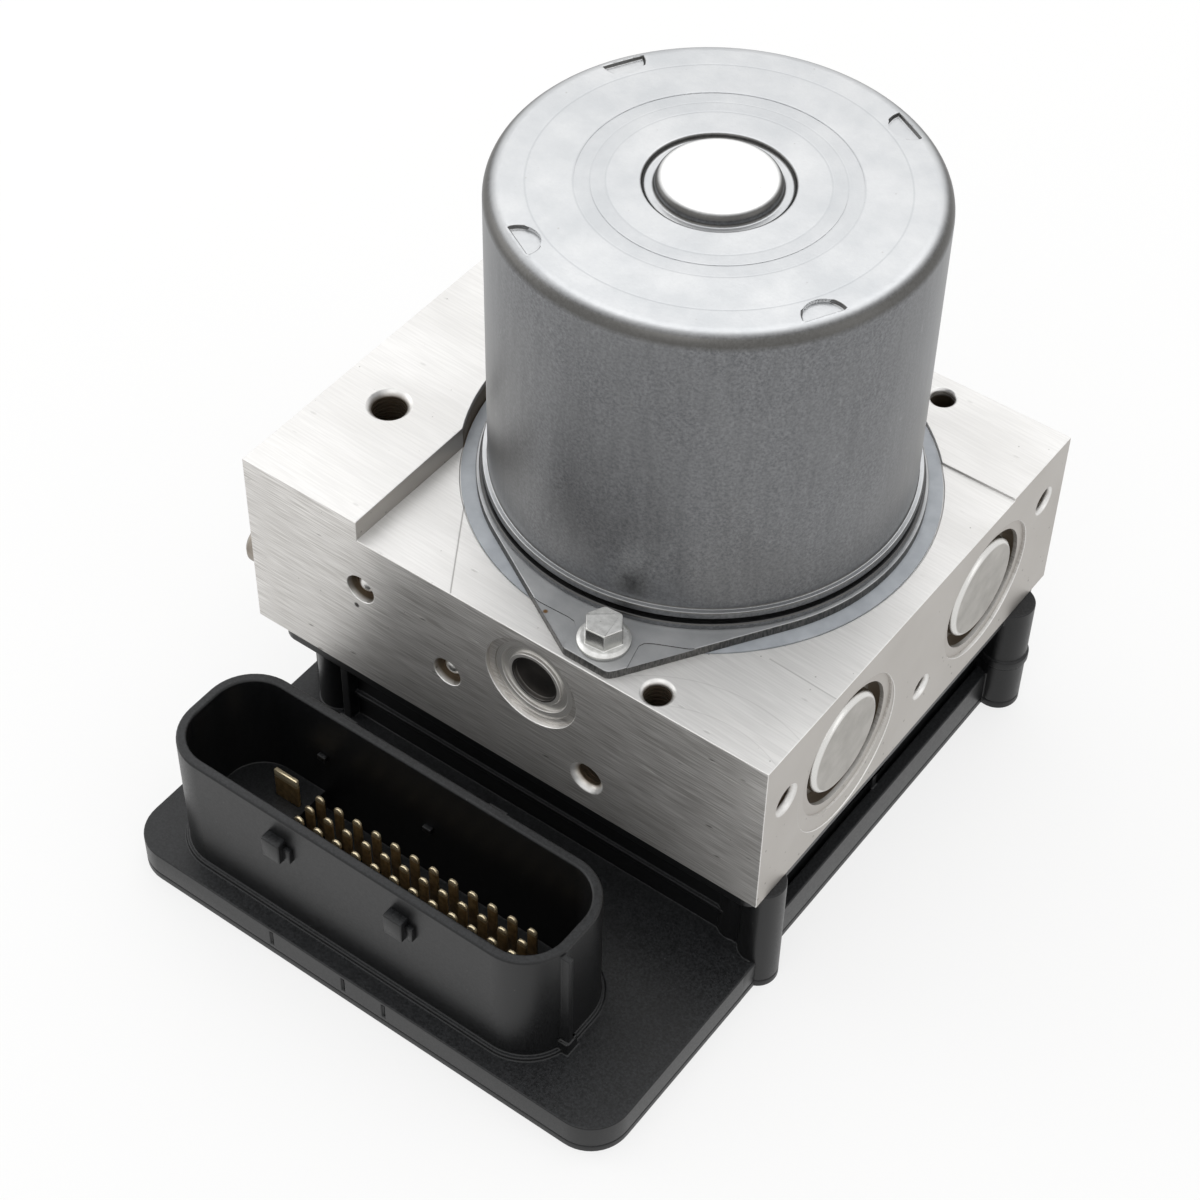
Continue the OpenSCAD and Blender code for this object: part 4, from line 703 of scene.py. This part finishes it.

# %% [markdown]
# ## Black moulded plastic
# The housing is glass filled nylon from a mould whose floor was spark eroded. The mould grain
# shows as a fine sparkle on the flat shelf, while upright walls, which slide out of the mould,
# are smoother. The black is not pure: light scatters in the skin, so it reads as dark grey. The
# level faces are painted lighter as painted light, and the walls darker as painted shade.


# %% Moulded plastics
def moulded_black(name, code, lighter, roughness):
    """Glass filled nylon: a grained level face painted lighter as painted light, and smoother walls
    painted darker as painted shade.
    """
    grain_mm, grain_depth = 0.45, 0.02
    material, tree, shader, place = new_finish(name, code, 0.0, roughness)
    shader.inputs["IOR"].default_value = 1.53
    shader.inputs["Specular IOR Level"].default_value = 0.32
    flat = facing_either(tree, "Z", 0.6, 0.95)
    grain = add(tree, "TexNoise", patches(place, grain_mm, 3.0, 0.6))
    fine = add(tree, "TexNoise", patches(place, grain_mm * 0.4, 1.0))
    patch = add(tree, "TexNoise", patches(place, 11, 3.0))
    # painted light on level faces and painted shade on walls of the same black nylon
    lit_level_tone = two_tone(tree, grain, 0.35, 0.75, lighter, "#303133")
    shaded_wall_tone = two_tone(tree, grain, 0.35, 0.75, code, lighter)
    tone = add(tree, "Mix", {0: flat, 6: shaded_wall_tone, 7: lit_level_tone}, **COLOURS)
    tone = two_tone(tree, patch, 0.4, 0.8, tone, "#0B0B0C", 0.25)
    fibres = add(tree, "Math", [dots(tree, place, 3.1, 0.16, 0.3), 0.5], operation="MULTIPLY")
    tone = add(tree, "Mix", {0: fibres, 6: tone, 7: "#5A5A5A"}, **COLOURS)
    join(tree, shader, "Base Color", tone)
    rough = add(tree, "MapRange", [grain, 0.3, 0.7, roughness - 0.05, roughness + 0.07])
    rough = plus_part(tree, rough, flat, 0.06)
    join(tree, shader, "Roughness", rough)
    height = add(tree, "Math", [grain, fine], operation="ADD")
    height = add(tree, "Math", [
        height, add(tree, "MapRange", [flat, 0, 1, 0.3, 1])
    ], operation="MULTIPLY")
    relief(tree, shader, height, grain_depth)
    return material


def dull_solid(name, code, other, roughness, size_mm=1.5, ior=1.5, relief_mm=0.02):
    """Resin, rubber, laminate and other dull matter with a soft mixed tone."""
    material, tree, shader, place = new_finish(name, code, 0.0, roughness)
    shader.inputs["IOR"].default_value = ior
    patch = add(tree, "TexNoise", patches(place, size_mm, 4.0))
    join(tree, shader, "Base Color", two_tone(tree, patch, 0.35, 0.7, code, other))
    rough = add(tree, "MapRange", [patch, 0.3, 0.7, roughness - 0.06, roughness + 0.06])
    join(tree, shader, "Roughness", rough)
    relief(tree, shader, patch, relief_mm)
    return material


def varnished_wire(name):
    """Enamelled copper wire, wound: fine ridges 0.5 mm apart under a clear amber varnish."""
    wire = 0.5 * MM
    material, tree, shader, place = new_finish(name, "#A85A2C", 1.0, 0.3)
    shader.inputs["Coat Weight"].default_value = 0.6
    z = add(tree, "SeparateXYZ", [place], out=2)
    ridges = add(tree, "Math", [z, 2 * math.pi / wire], operation="MULTIPLY")
    ridges = add(tree, "Math", [ridges], operation="SINE")
    join(tree, shader, "Base Color", two_tone(tree, ridges, -1, 1, "#8A4420", "#C27A42"))
    relief(tree, shader, ridges, 0.1)
    return material


# %% [markdown]
# ## A finish for each dull material
# Plastics, resins, rubber and carbon take their place in the same table. Most of them are hidden
# inside the unit and only need a believable tone and roughness.

# %% Make the plastics and the other dull finishes
finishes.update(
    {
        "housing_plastic": moulded_black("moulded_glass_filled_nylon", "#0A0A0B", "#161718", 0.36),
        "cover_plastic": moulded_black("moulded_cover_nylon", "#0A0A0B", "#161718", 0.4),
        "inner_plastic": moulded_black("moulded_brush_holder_resin", "#2A2724", "#3A3632", 0.5),
        "coil_resin": dull_solid("cast_coil_resin", "#1C1B1D", "#2A292B", 0.45),
        "gasket_sheet": dull_solid("coated_gasket_sheet", "#A9AEB4", "#BCC1C6", 0.42, 4.0),
        "seal_rubber": dull_solid("moulded_nitrile_rubber", "#151515", "#1F1F1F", 0.6),
        "carbon_brush": dull_solid("pressed_carbon_brush", "#2B2C2F", "#3B3C40", 0.55, 0.6),
        "magnet_ferrite": dull_solid("sintered_ferrite", "#2C2C2E", "#38383B", 0.5, 0.8),
        "board_laminate": dull_solid("green_resist_on_glass_laminate", "#1D4A30", "#255A3B", 0.35, 2.0),
        "copper_wire": varnished_wire("varnished_copper_wire"),
    }
)
print("made", len(finishes), "finishes in all")

# %% [markdown]
# ## Rounded edges
# A real machined, pressed or moulded piece has no perfectly sharp edge, and the small rounding
# is what catches the light. The CAD meshes may not be changed, so each visible node is copied,
# its loose triangles are merged, its flat parts are joined into larger faces and its sharp edges
# get a small bevel. The copy then stands for the node. First come the small functions that every
# mesh here needs.


# %% Mesh helpers
def bevel(work, edges, width, segments, **options):
    return bmesh.ops.bevel(
        work,
        geom=edges,
        offset=width,
        offset_type="OFFSET",
        affect="EDGES",
        segments=segments,
        profile=0.5,
        material=-1,
        **options,
    )


def shade_smooth(work, sharp_deg):
    """Smooth shading, except at the edges that turn by more than sharp_deg."""
    for face in work.faces:
        face.smooth = True
    for edge in work.edges:
        edge.smooth = len(edge.link_faces) == 2 and edge.calc_face_angle(0) < math.radians(sharp_deg)


def put_in_scene(name, data):
    made = bpy.data.objects.new(name, data)
    bpy.context.scene.collection.objects.link(made)
    return made


def mesh_piece(name, work, material=None):
    """An object from a bmesh, which is freed."""
    mesh = bpy.data.meshes.new(name)
    work.to_mesh(mesh)
    work.free()
    if material:
        mesh.materials.append(material)
    return put_in_scene(name, mesh)


# %% [markdown]
# ## One function that rounds a node
# It takes the node's name, the width of the rounding and the finish. The other values are tests
# that pick edges: which ones are rounded, which get a wider rounding, and which stay soft.


# %% Rounding helper
def sharp_edges(work, sharp_deg, wanted):
    return [
        edge
        for edge in work.edges
        if len(edge.link_faces) == 2
        and edge.calc_face_angle(0) >= math.radians(sharp_deg)
        and (wanted is None or wanted(middle_of(edge), edge))
    ]


def middle_of(edge):
    return (edge.verts[0].co + edge.verts[1].co) / 2


def round_edges(work, edges, width_mm, segments):
    bevel(work, edges, width_mm * MM, segments, clamp_overlap=False, loop_slide=True)


def rounded_copy(
    node, width_mm, material, segments=2, sharp_deg=34.0, wanted=None, wider=None, soft=None, reshape=None
):
    """A copy of a node with rounded edges; wider is a test of edges and their own larger width."""
    mesh = nodes[node].data.copy()
    mesh.name = node + "_finished"
    work = bmesh.new()
    work.from_mesh(mesh)
    bmesh.ops.remove_doubles(work, verts=work.verts, dist=0.002 * MM)
    bmesh.ops.dissolve_limit(
        work,
        angle_limit=math.radians(0.5),
        use_dissolve_boundaries=False,
        verts=work.verts,
        edges=work.edges,
    )
    if wider:
        broad = sharp_edges(work, sharp_deg, wider[0])
        round_edges(work, broad, wider[1], 5)
        print("rounded", node, "more broadly at", len(broad), "edges")
    edges = sharp_edges(work, sharp_deg, wanted)
    round_edges(work, edges, width_mm, segments)
    if reshape:
        reshape(work)
    shade_smooth(work, 50)
    for edge in work.edges:
        if soft and soft(middle_of(edge)):
            edge.smooth = True
    work.to_mesh(mesh)
    work.free()
    if "custom_normal" in mesh.attributes:
        mesh.attributes.remove(mesh.attributes["custom_normal"])
    piece = put_in_scene(mesh.name, mesh)
    # large flat faces keep their own direction, so that the rounding beside them stays narrow
    weighted = piece.modifiers.new("weighted_normals", "WEIGHTED_NORMAL")
    weighted.keep_sharp = True
    mesh.materials.clear()
    mesh.materials.append(material)
    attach(piece, nodes[node]["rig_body"])
    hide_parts(node)
    print("rounded", node, "edges", len(edges), "faces", len(mesh.polygons))
    return piece


# %% [markdown]
# ## The block with deburred edges
# Only the edges that lie on the outer faces are rounded: the arrises of the bar and the mouths
# of the drillings. The bores themselves stay exactly as the construction cut them, and so do
# edges shorter than 0.12 mm, such as the steps of fine threads.


# %% Round the block
def on_outer_face(middle, edge):
    tolerance = 0.06 * MM
    for value, limits in (
        (middle.x, (block_low.x, block_high.x)),
        (middle.y, (front_y, back_y)),
        (middle.z, (bar_z, top_z, top_z + 0.5 * MM)),
    ):
        if any(abs(value - limit) < tolerance for limit in limits):
            return edge.calc_length() > 0.12 * MM
    return False


block = rounded_copy("valve_block", 0.18, block_finish, wanted=on_outer_face)

# %% [markdown]
# ## The drawn can
# A drawn can has soft corners, and its dome is softer still. The rings that the press coined on
# top are so shallow that a rounding would widen them, so they are shaded soft instead.


# %% Round the can
# distances from the motor axis in mm
DOME_OUT, CROWN_IN, CROWN_OUT, FLAT_IN, FLAT_OUT = 13.5, 16, 34, 27, 33
RING_IN, RING_OUT, CUP_INSIDE, EAR_OUT = 20, 26, 30, 46
CROWN_DEEP = 3 * MM


def from_axis(point):
    return math.hypot(point.x - axis_x, point.y - axis_y) / MM


def dome_edge(middle, edge):
    return from_axis(middle) < DOME_OUT and middle.z > can_high.z - CROWN_DEEP


def on_rings(middle):
    return CROWN_IN < from_axis(middle) < CROWN_OUT and middle.z > can_high.z - CROWN_DEEP


def shallow_rings(work):
    """The coined ring on top is only 0.05 mm deep to the eye, so its floor is raised."""
    flat = max(vert.co.z for vert in work.verts if FLAT_IN < from_axis(vert.co) < FLAT_OUT)
    for vert in work.verts:
        if RING_IN < from_axis(vert.co) < RING_OUT and flat - 0.3 * MM < vert.co.z < flat - 0.1 * MM:
            vert.co.z = flat - 0.05 * MM


def other_can_edge(middle, edge):
    """All but the dome, the inside, and the shallow rings that a rounding would widen."""
    return not dome_edge(middle, edge) and not on_rings(middle) and from_axis(middle) > CUP_INSIDE


can = rounded_copy(
    "motor_can",
    0.3,
    can_finish,
    segments=3,
    wanted=other_can_edge,
    wider=(dome_edge, 0.6),
    soft=on_rings,
    reshape=shallow_rings,
)

# %% [markdown]
# ## Plate, bolts, plugs and caps
# Each piece gets a rounding that suits how it was made: a blanked plate has rounded outer corners
# and narrow edges, and a turned plug only a broken edge.


# %% Round the plate and the small metal pieces
def ear_corner(middle, edge):
    """The upright corners of the two ears, which the blanking tool rounds."""
    upright = abs(edge.verts[0].co.z - edge.verts[1].co.z) > 1.2 * MM
    return upright and from_axis(middle) > EAR_OUT and edge.is_convex


def not_on_coined_step(middle, edge):
    """Faces that rise by less than 0.5 mm belong to the shallow steps of the press."""
    for face in edge.link_faces:
        heights = [v.co.z for v in face.verts]
        if 0.02 * MM < max(heights) - min(heights) < 0.5 * MM:
            return False
    return True


plate = rounded_copy(
    "motor_flange",
    0.2,
    finishes["flange_steel"],
    sharp_deg=20,
    wanted=not_on_coined_step,
    wider=(ear_corner, 0.6),
)
bolts = rounded_copy("flange_bolts", 0.22, finishes["bolt_zinc"])
caps = rounded_copy("accumulator_caps", 0.12, cap_finish)
for node in ("pump_plug_front", "pump_plug_rear"):
    rounded_copy(node, 0.15, finishes["cap_steel"])
side_pin = rounded_copy("side_pin", 0.2, finishes["pin_steel"])

# %% [markdown]
# ## Moulded pieces
# A moulding has rounded edges everywhere except at the parting line, because a sharp corner
# would crack the mould. The housing and the cover both get a 0.3 mm rounding, and the rim of the housing a
# wider one.

# %% Round the mouldings
shroud_front = cad_low.y + 4.4 * MM
FRONT_LUG_LOW, REAR_LUG_LOW, REAR_LUG_OUT = 26 * MM, 28 * MM, 26.5 * MM
REAR_WALL_FROM, REAR_WALL_TO = -43.3 * MM, -41 * MM
RIM_HEIGHT = 36.2 * MM


def not_on_lugs(middle, edge):
    """The small stepped lugs on the shroud keep crisp edges, as they do in the real moulding."""
    front_lug = middle.y < shroud_front + 0.2 * MM and middle.z > FRONT_LUG_LOW
    rear_wall = REAR_WALL_FROM < middle.y < REAR_WALL_TO
    rear_lug = rear_wall and middle.z > REAR_LUG_LOW and abs(middle.x) < REAR_LUG_OUT
    small = edge.calc_length() < 5 * MM
    return not (small and (front_lug or rear_lug))


def rim_edge(middle, edge):
    return abs(middle.z - RIM_HEIGHT) < 0.05 * MM and middle.y < REAR_WALL_TO


housing = rounded_copy(
    "ecu_housing", 0.3, finishes["housing_plastic"], wanted=not_on_lugs, wider=(rim_edge, 0.55)
)
cover = rounded_copy("ecu_cover", 0.3, finishes["cover_plastic"])

# %% [markdown]
# ## Small moulded blocks
# Some small forms of the moulding are added as blocks with rounded edges. The shelf runs straight
# back to the near column, so the rounded rear corner of the solid is filled, and the same is done
# on the cover below it. Each lug on the front of the shroud gets a cover and a step beside it,
# and two small lugs stand on the inner wall behind the pins.


# %% Make the moulded blocks
LUG_X = (-17.5, 10.6)
INNER_LUG_XZ = ((-27.5, 23.3), (-2.4, 21.1))


def moulded_block(name, low, high, slot, rounding):
    """A block between two corners given in mm, with rounded edges."""
    work = bmesh.new()
    bmesh.ops.create_cube(work, size=1.0)
    bmesh.ops.scale(work, vec=[(h - l) * MM for l, h in zip(low, high)], verts=work.verts)
    bmesh.ops.translate(work, vec=[(h + l) / 2 * MM for l, h in zip(low, high)], verts=work.verts)
    bevel(work, work.edges[:], rounding * MM, 3)
    for face in work.faces:
        face.smooth = True
    piece = mesh_piece(name, work, finishes[slot])
    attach(piece, "unit")


blocks = [("shelf_corner", (47, -34, 1.9), (57.57, -21.2, 7.37), "housing_plastic", 0.4)]
for x in LUG_X:
    front, step = (x - 2.4, -70.8, 26.2), (x + 1.5, -69.6, 26.2)
    blocks.append((f"front_lug_{x}", front, (x + 1.8, -68.4, 31.3), "housing_plastic", 0.35))
    blocks.append((f"front_step_{x}", step, (x + 3.2, -68.4, 29.6), "housing_plastic", 0.3))
for x, z in INNER_LUG_XZ:
    low, high = (x - 1, -46.1, z - 0.7), (x + 1, -45.0, z + 0.7)
    blocks.append((f"inner_lug_{x}", low, high, "housing_plastic", 0.25))
blocks.append(("cover_corner", (47, -34, 0.03), (57.57, -21.2, 1.77), "cover_plastic", 0.3))
for block_values in blocks:
    moulded_block(*block_values)
print("made", len(blocks), "moulded blocks")

# %% [markdown]
# ## Plug pins
# The pins are stamped from bronze strip and tinned. Each one is flat, with a rounded tip that
# leads it into its socket, and the tip is painted pale as painted light. One pin is shaped from a cube: it
# is scaled, its two upper corners are rounded broadly, and the edges around these corners get a
# fine bevel. The same is done at each place in the three rows, and for the one wide blade beside
# them, which takes its size from its node.

# %% Make the pins
pins_low, pins_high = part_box("connector_pins")
PINS_IN_ROW, PIN_ROWS = 12, 3
PIN_WIDTH, PIN_THICK, PIN_FOOT, PIN_TIP = 2.0 * MM, 0.64 * MM, 7.6 * MM, 0.9 * MM
BLADE_TIP = 0.35 * MM
FINE_BEVEL = 0.14 * MM
CAD_PIN = 1.0 * MM


def stamped_pin(work, x, y, width, thick, low, high, tip):
    made = bmesh.ops.create_cube(work, size=1.0)["verts"]
    bmesh.ops.scale(work, vec=(width, thick, high - low), verts=made)
    bmesh.ops.translate(work, vec=(x, y, (high + low) / 2), verts=made)
    close = 1e-7
    corners = [
        e
        for e in {edge for v in made for edge in v.link_edges}
        if all(abs(v.co.z - high) < close for v in e.verts)
        and abs(e.verts[0].co.x - e.verts[1].co.x) < close
    ]
    result = bevel(work, corners, tip, 4)
    faces = {f for v in result["verts"] for f in v.link_faces}
    rim = [
        e
        for e in {edge for f in faces for edge in f.edges}
        if len(e.link_faces) == 2 and e.calc_face_angle(0) > math.radians(60)
    ]
    bevel(work, rim, FINE_BEVEL, 2)


pins = bmesh.new()
first_x, last_x = pins_low.x + CAD_PIN / 2, pins_high.x - CAD_PIN / 2
first_y, last_y = pins_high.y - CAD_PIN / 2, pins_low.y + CAD_PIN / 2
for i in range(PINS_IN_ROW):
    for j in range(PIN_ROWS):
        x = first_x + (last_x - first_x) * i / (PINS_IN_ROW - 1)
        y = first_y + (last_y - first_y) * j / (PIN_ROWS - 1)
        stamped_pin(pins, x, y, PIN_WIDTH, PIN_THICK, PIN_FOOT, pins_high.z, PIN_TIP)
blade_low, blade_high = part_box("power_blade")
middle = (blade_low + blade_high) / 2
wide, thick = blade_high.x - blade_low.x, blade_high.y - blade_low.y
blade = bmesh.new()
stamped_pin(blade, middle.x, middle.y, wide, thick, blade_low.z, blade_high.z, BLADE_TIP)
print("made", PINS_IN_ROW * PIN_ROWS, "pins, faces", len(pins.faces))
print("made a blade, faces", len(blade.faces))

# %% [markdown]
# ## Tinned bronze with painted light on the tips
# The pins look dark, because they stand in a black well, and only their tips shine like pale
# gold. The tone changes along the height of the pin, from bronze below to a pale painted light at
# the tip.


# %% Pin finish
def pin_bronze(tip_z):
    material, tree, shader, place = new_finish("stamped_tin_bronze", "#A08457", 0.6, 0.27)
    z = add(tree, "SeparateXYZ", [place], out=2)
    # painted light: the top 1.6 mm of each pin, which stands up out of the dark well, turns pale
    tip = add(tree, "MapRange", [z, tip_z - 1.6 * MM, tip_z - 0.2 * MM])
    patch = add(tree, "TexNoise", patches(place, 1.2, 3.0))
    body = two_tone(tree, patch, 0.35, 0.7, "#846A44", "#AC9064")
    tone = add(tree, "Mix", {0: tip, 6: body, 7: "#F2E2BE"}, **COLOURS)
    join(tree, shader, "Base Color", tone)
    join(tree, shader, "Roughness", add(tree, "MapRange", [tip, 0, 1, 0.32, 0.18]))
    relief(tree, shader, add(tree, "TexNoise", patches(place, 0.2, 2.0)), 0.008)
    return material


pin_finish = pin_bronze(pins_high.z)
for name, work, node in (("plug_pins", pins, "connector_pins"), ("plug_blade", blade, "power_blade")):
    shade_smooth(work, 40)
    piece = mesh_piece(name, work, pin_finish)
    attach(piece, "unit")
    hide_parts(node)
print("made", pin_finish.name)

# %% [markdown]
# ## Springs
# The pump pistons and the accumulator pistons push against coil springs. A spring stays in the
# block with one end held, so it can't simply follow its piston. Each one is copied with the
# spring finish and attached to the unit. Its held end is read from the record, but the copy is not set to
# shorten.


# %% Copy the springs
def spring_copy(spring):
    node = spring["node"]
    letter = spring["mode"][-1]
    k = "xyz".index(letter)
    low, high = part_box(node)
    anchor = (low + high) / 2
    anchor[k] = spring[f"fixed_end_{letter}_m"]
    piece = put_in_scene(node + "_coils", nodes[node].data.copy())
    piece.data.materials.clear()
    piece.data.materials.append(finishes["spring_steel"])
    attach(piece, "unit")
    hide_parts(node)
    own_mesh(piece)


for joint in frame["record"]["behaviour"]["joints"]:
    for spring in joint.get("deforming_nodes", []):
        spring_copy(spring)


# %% [markdown]
# ## Finishes for the nodes that stay
# The nodes inside the unit keep their shape. Each takes the finish of its material slot, which
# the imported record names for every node.

# %% Give the remaining nodes their finish
slot_of = {part["node"]: part.get("material_slot") for part in frame["record"].get("subparts", [])}
for name, node in nodes.items():
    slot = slot_of.get(name)
    if slot is None or slot not in finishes:
        print("no finish found for", name, slot)
        continue
    node.data.materials.clear()
    node.data.materials.append(finishes[slot])
print("finished", len(nodes), "nodes")

# %% [markdown]
# ## Floor
# The photograph was taken on a seamless white table. The floor shows itself to the camera, and to
# shiny metal, as nearly plain white, and mixes in a part of its real shading, which keeps the
# soft shadow under the unit.

# %% Floor
FLOOR_HALF = 3.0
AMBIENT, PAPER_GLOW = 0.8, 0.75
work = bmesh.new()
bmesh.ops.create_grid(work, x_segments=1, y_segments=1, size=FLOOR_HALF)
bmesh.ops.translate(work, vec=(0, 0, cad_low.z - 0.02 * MM), verts=work.verts)
floor = mesh_piece("floor", work)
floor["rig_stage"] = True


def white_paper():
    material, tree, shader, place = new_finish("white_paper_sweep", "#F4F4F3", 0.0, 0.8)
    shader.inputs["Specular IOR Level"].default_value = 0.1
    path = add(tree, "LightPath").node.outputs
    seen = add(tree, "Math", [path["Is Camera Ray"], path["Is Glossy Ray"]], operation="MAXIMUM")
    seen = add(tree, "Math", [seen, path["Is Transmission Ray"]], operation="MAXIMUM")
    glow = add(tree, "Emission", {"Color": "#FFFFFF", "Strength": 1.0})
    share = add(tree, "Math", [seen, PAPER_GLOW], operation="MULTIPLY")
    mix = add(tree, "MixShader", [share, shader.outputs[0], glow])
    tree.links.new(mix, tree.nodes["Material Output"].inputs["Surface"])
    return material


floor.data.materials.append(white_paper())
print("floor is at", round((cad_low.z - 0.02 * MM) / MM, 2), "mm")

# %% [markdown]
# ## The world around it
# The world lights the unit evenly from all sides, at a plain level. To the camera, and in the
# reflections of the metal, it shows as plain white, so the background stays clean.

# %% World
world = bpy.data.worlds.new("studio")
bpy.context.scene.world = world
world.use_nodes = True
tree = world.node_tree
back = tree.nodes["Background"]
back.inputs["Color"].default_value = colour("#FFFFFF")
path = add(tree, "LightPath").node.outputs
seen = add(tree, "Math", [path["Is Camera Ray"], path["Is Transmission Ray"]], operation="MAXIMUM")
seen = add(tree, "Math", [seen, path["Is Glossy Ray"]], operation="MAXIMUM")
tree.links.new(add(tree, "MapRange", [seen, 0, 1, AMBIENT, 1.0]), back.inputs["Strength"])
print("world is lit at", AMBIENT)

# %% [markdown]
# ## Four soft lights
# One large lamp hangs overhead and one stands at the left. A weak one at the right and a small
# one in front open up the shadows, as the white walls of a small studio would.


# %% Lights
def soft_light(name, place, target, width, height, watts):
    data = bpy.data.lights.new(name, "AREA")
    data.shape = "RECTANGLE"
    data.size, data.size_y = width, height
    data.energy = watts
    light = put_in_scene(name, data)
    light.location = place
    light.rotation_mode = "QUATERNION"
    light.rotation_quaternion = (Vector(target) - Vector(place)).to_track_quat("-Z", "Y")


aim = (0, 0, 0.05)
soft_light("overhead_box", (-0.15, 0.45, 1.0), aim, 1.1, 0.9, 2.7)
soft_light("left_box", (-0.95, -0.25, 0.55), aim, 0.7, 0.9, 2.4)
soft_light("right_box", (0.95, 0.15, 0.45), aim, 0.5, 0.8, 0.6)
soft_light("front_box", (0.2, -0.75, 0.95), aim, 0.6, 0.5, 1.1)
print("set four soft lights")

# %% [markdown]
# ## Camera
# The camera stands where the photographer stood. Its place, lens and small shift were found by
# matching corners of the block, circles of the can and edges of the plastic with the picture.

# %% Camera
AZIMUTH, ELEVATION, ROLL = 35.28, 47.01, 1.46
CAMERA_AT = (0.1974, -0.2720, 0.4109)
PICTURE, SENSOR = 1200, 36.0
FOCAL_PIXELS, CENTRE_X, CENTRE_Y = 2673.2, 610.4, 582.0
az, el, roll = (math.radians(v) for v in (AZIMUTH, ELEVATION, ROLL))
backward = Vector((math.sin(az) * math.cos(el), -math.cos(az) * math.cos(el), math.sin(el)))
right = Vector((math.cos(az), math.sin(az), 0))
upward = backward.cross(right)
c, s = math.cos(roll), math.sin(roll)
side, top = c * right + s * upward, -s * right + c * upward
camera_data = bpy.data.cameras.new("camera")
camera_data.sensor_width = SENSOR
camera_data.lens = FOCAL_PIXELS / PICTURE * SENSOR
camera_data.shift_x = (PICTURE / 2 - CENTRE_X) / PICTURE
camera_data.shift_y = (CENTRE_Y - PICTURE / 2) / PICTURE
camera_data.clip_start, camera_data.clip_end = 0.01, 20
camera = put_in_scene("camera", camera_data)
turned = Matrix((side, top, backward)).transposed().to_4x4()
camera.matrix_world = Matrix.Translation(CAMERA_AT) @ turned
bpy.context.scene.camera = camera
bpy.context.scene.view_settings.view_transform = "Standard"
print("camera lens", round(camera_data.lens, 1), "mm")

# %% [markdown]
# ## Measure and finish
# The box of the finished unit is printed, as the box of the construction model was after
# loading. The finished unit may not outgrow the construction model.

# %% Measure the finished unit
low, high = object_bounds()
print("visual box in mm:", [round(v / MM, 1) for v in high - low])
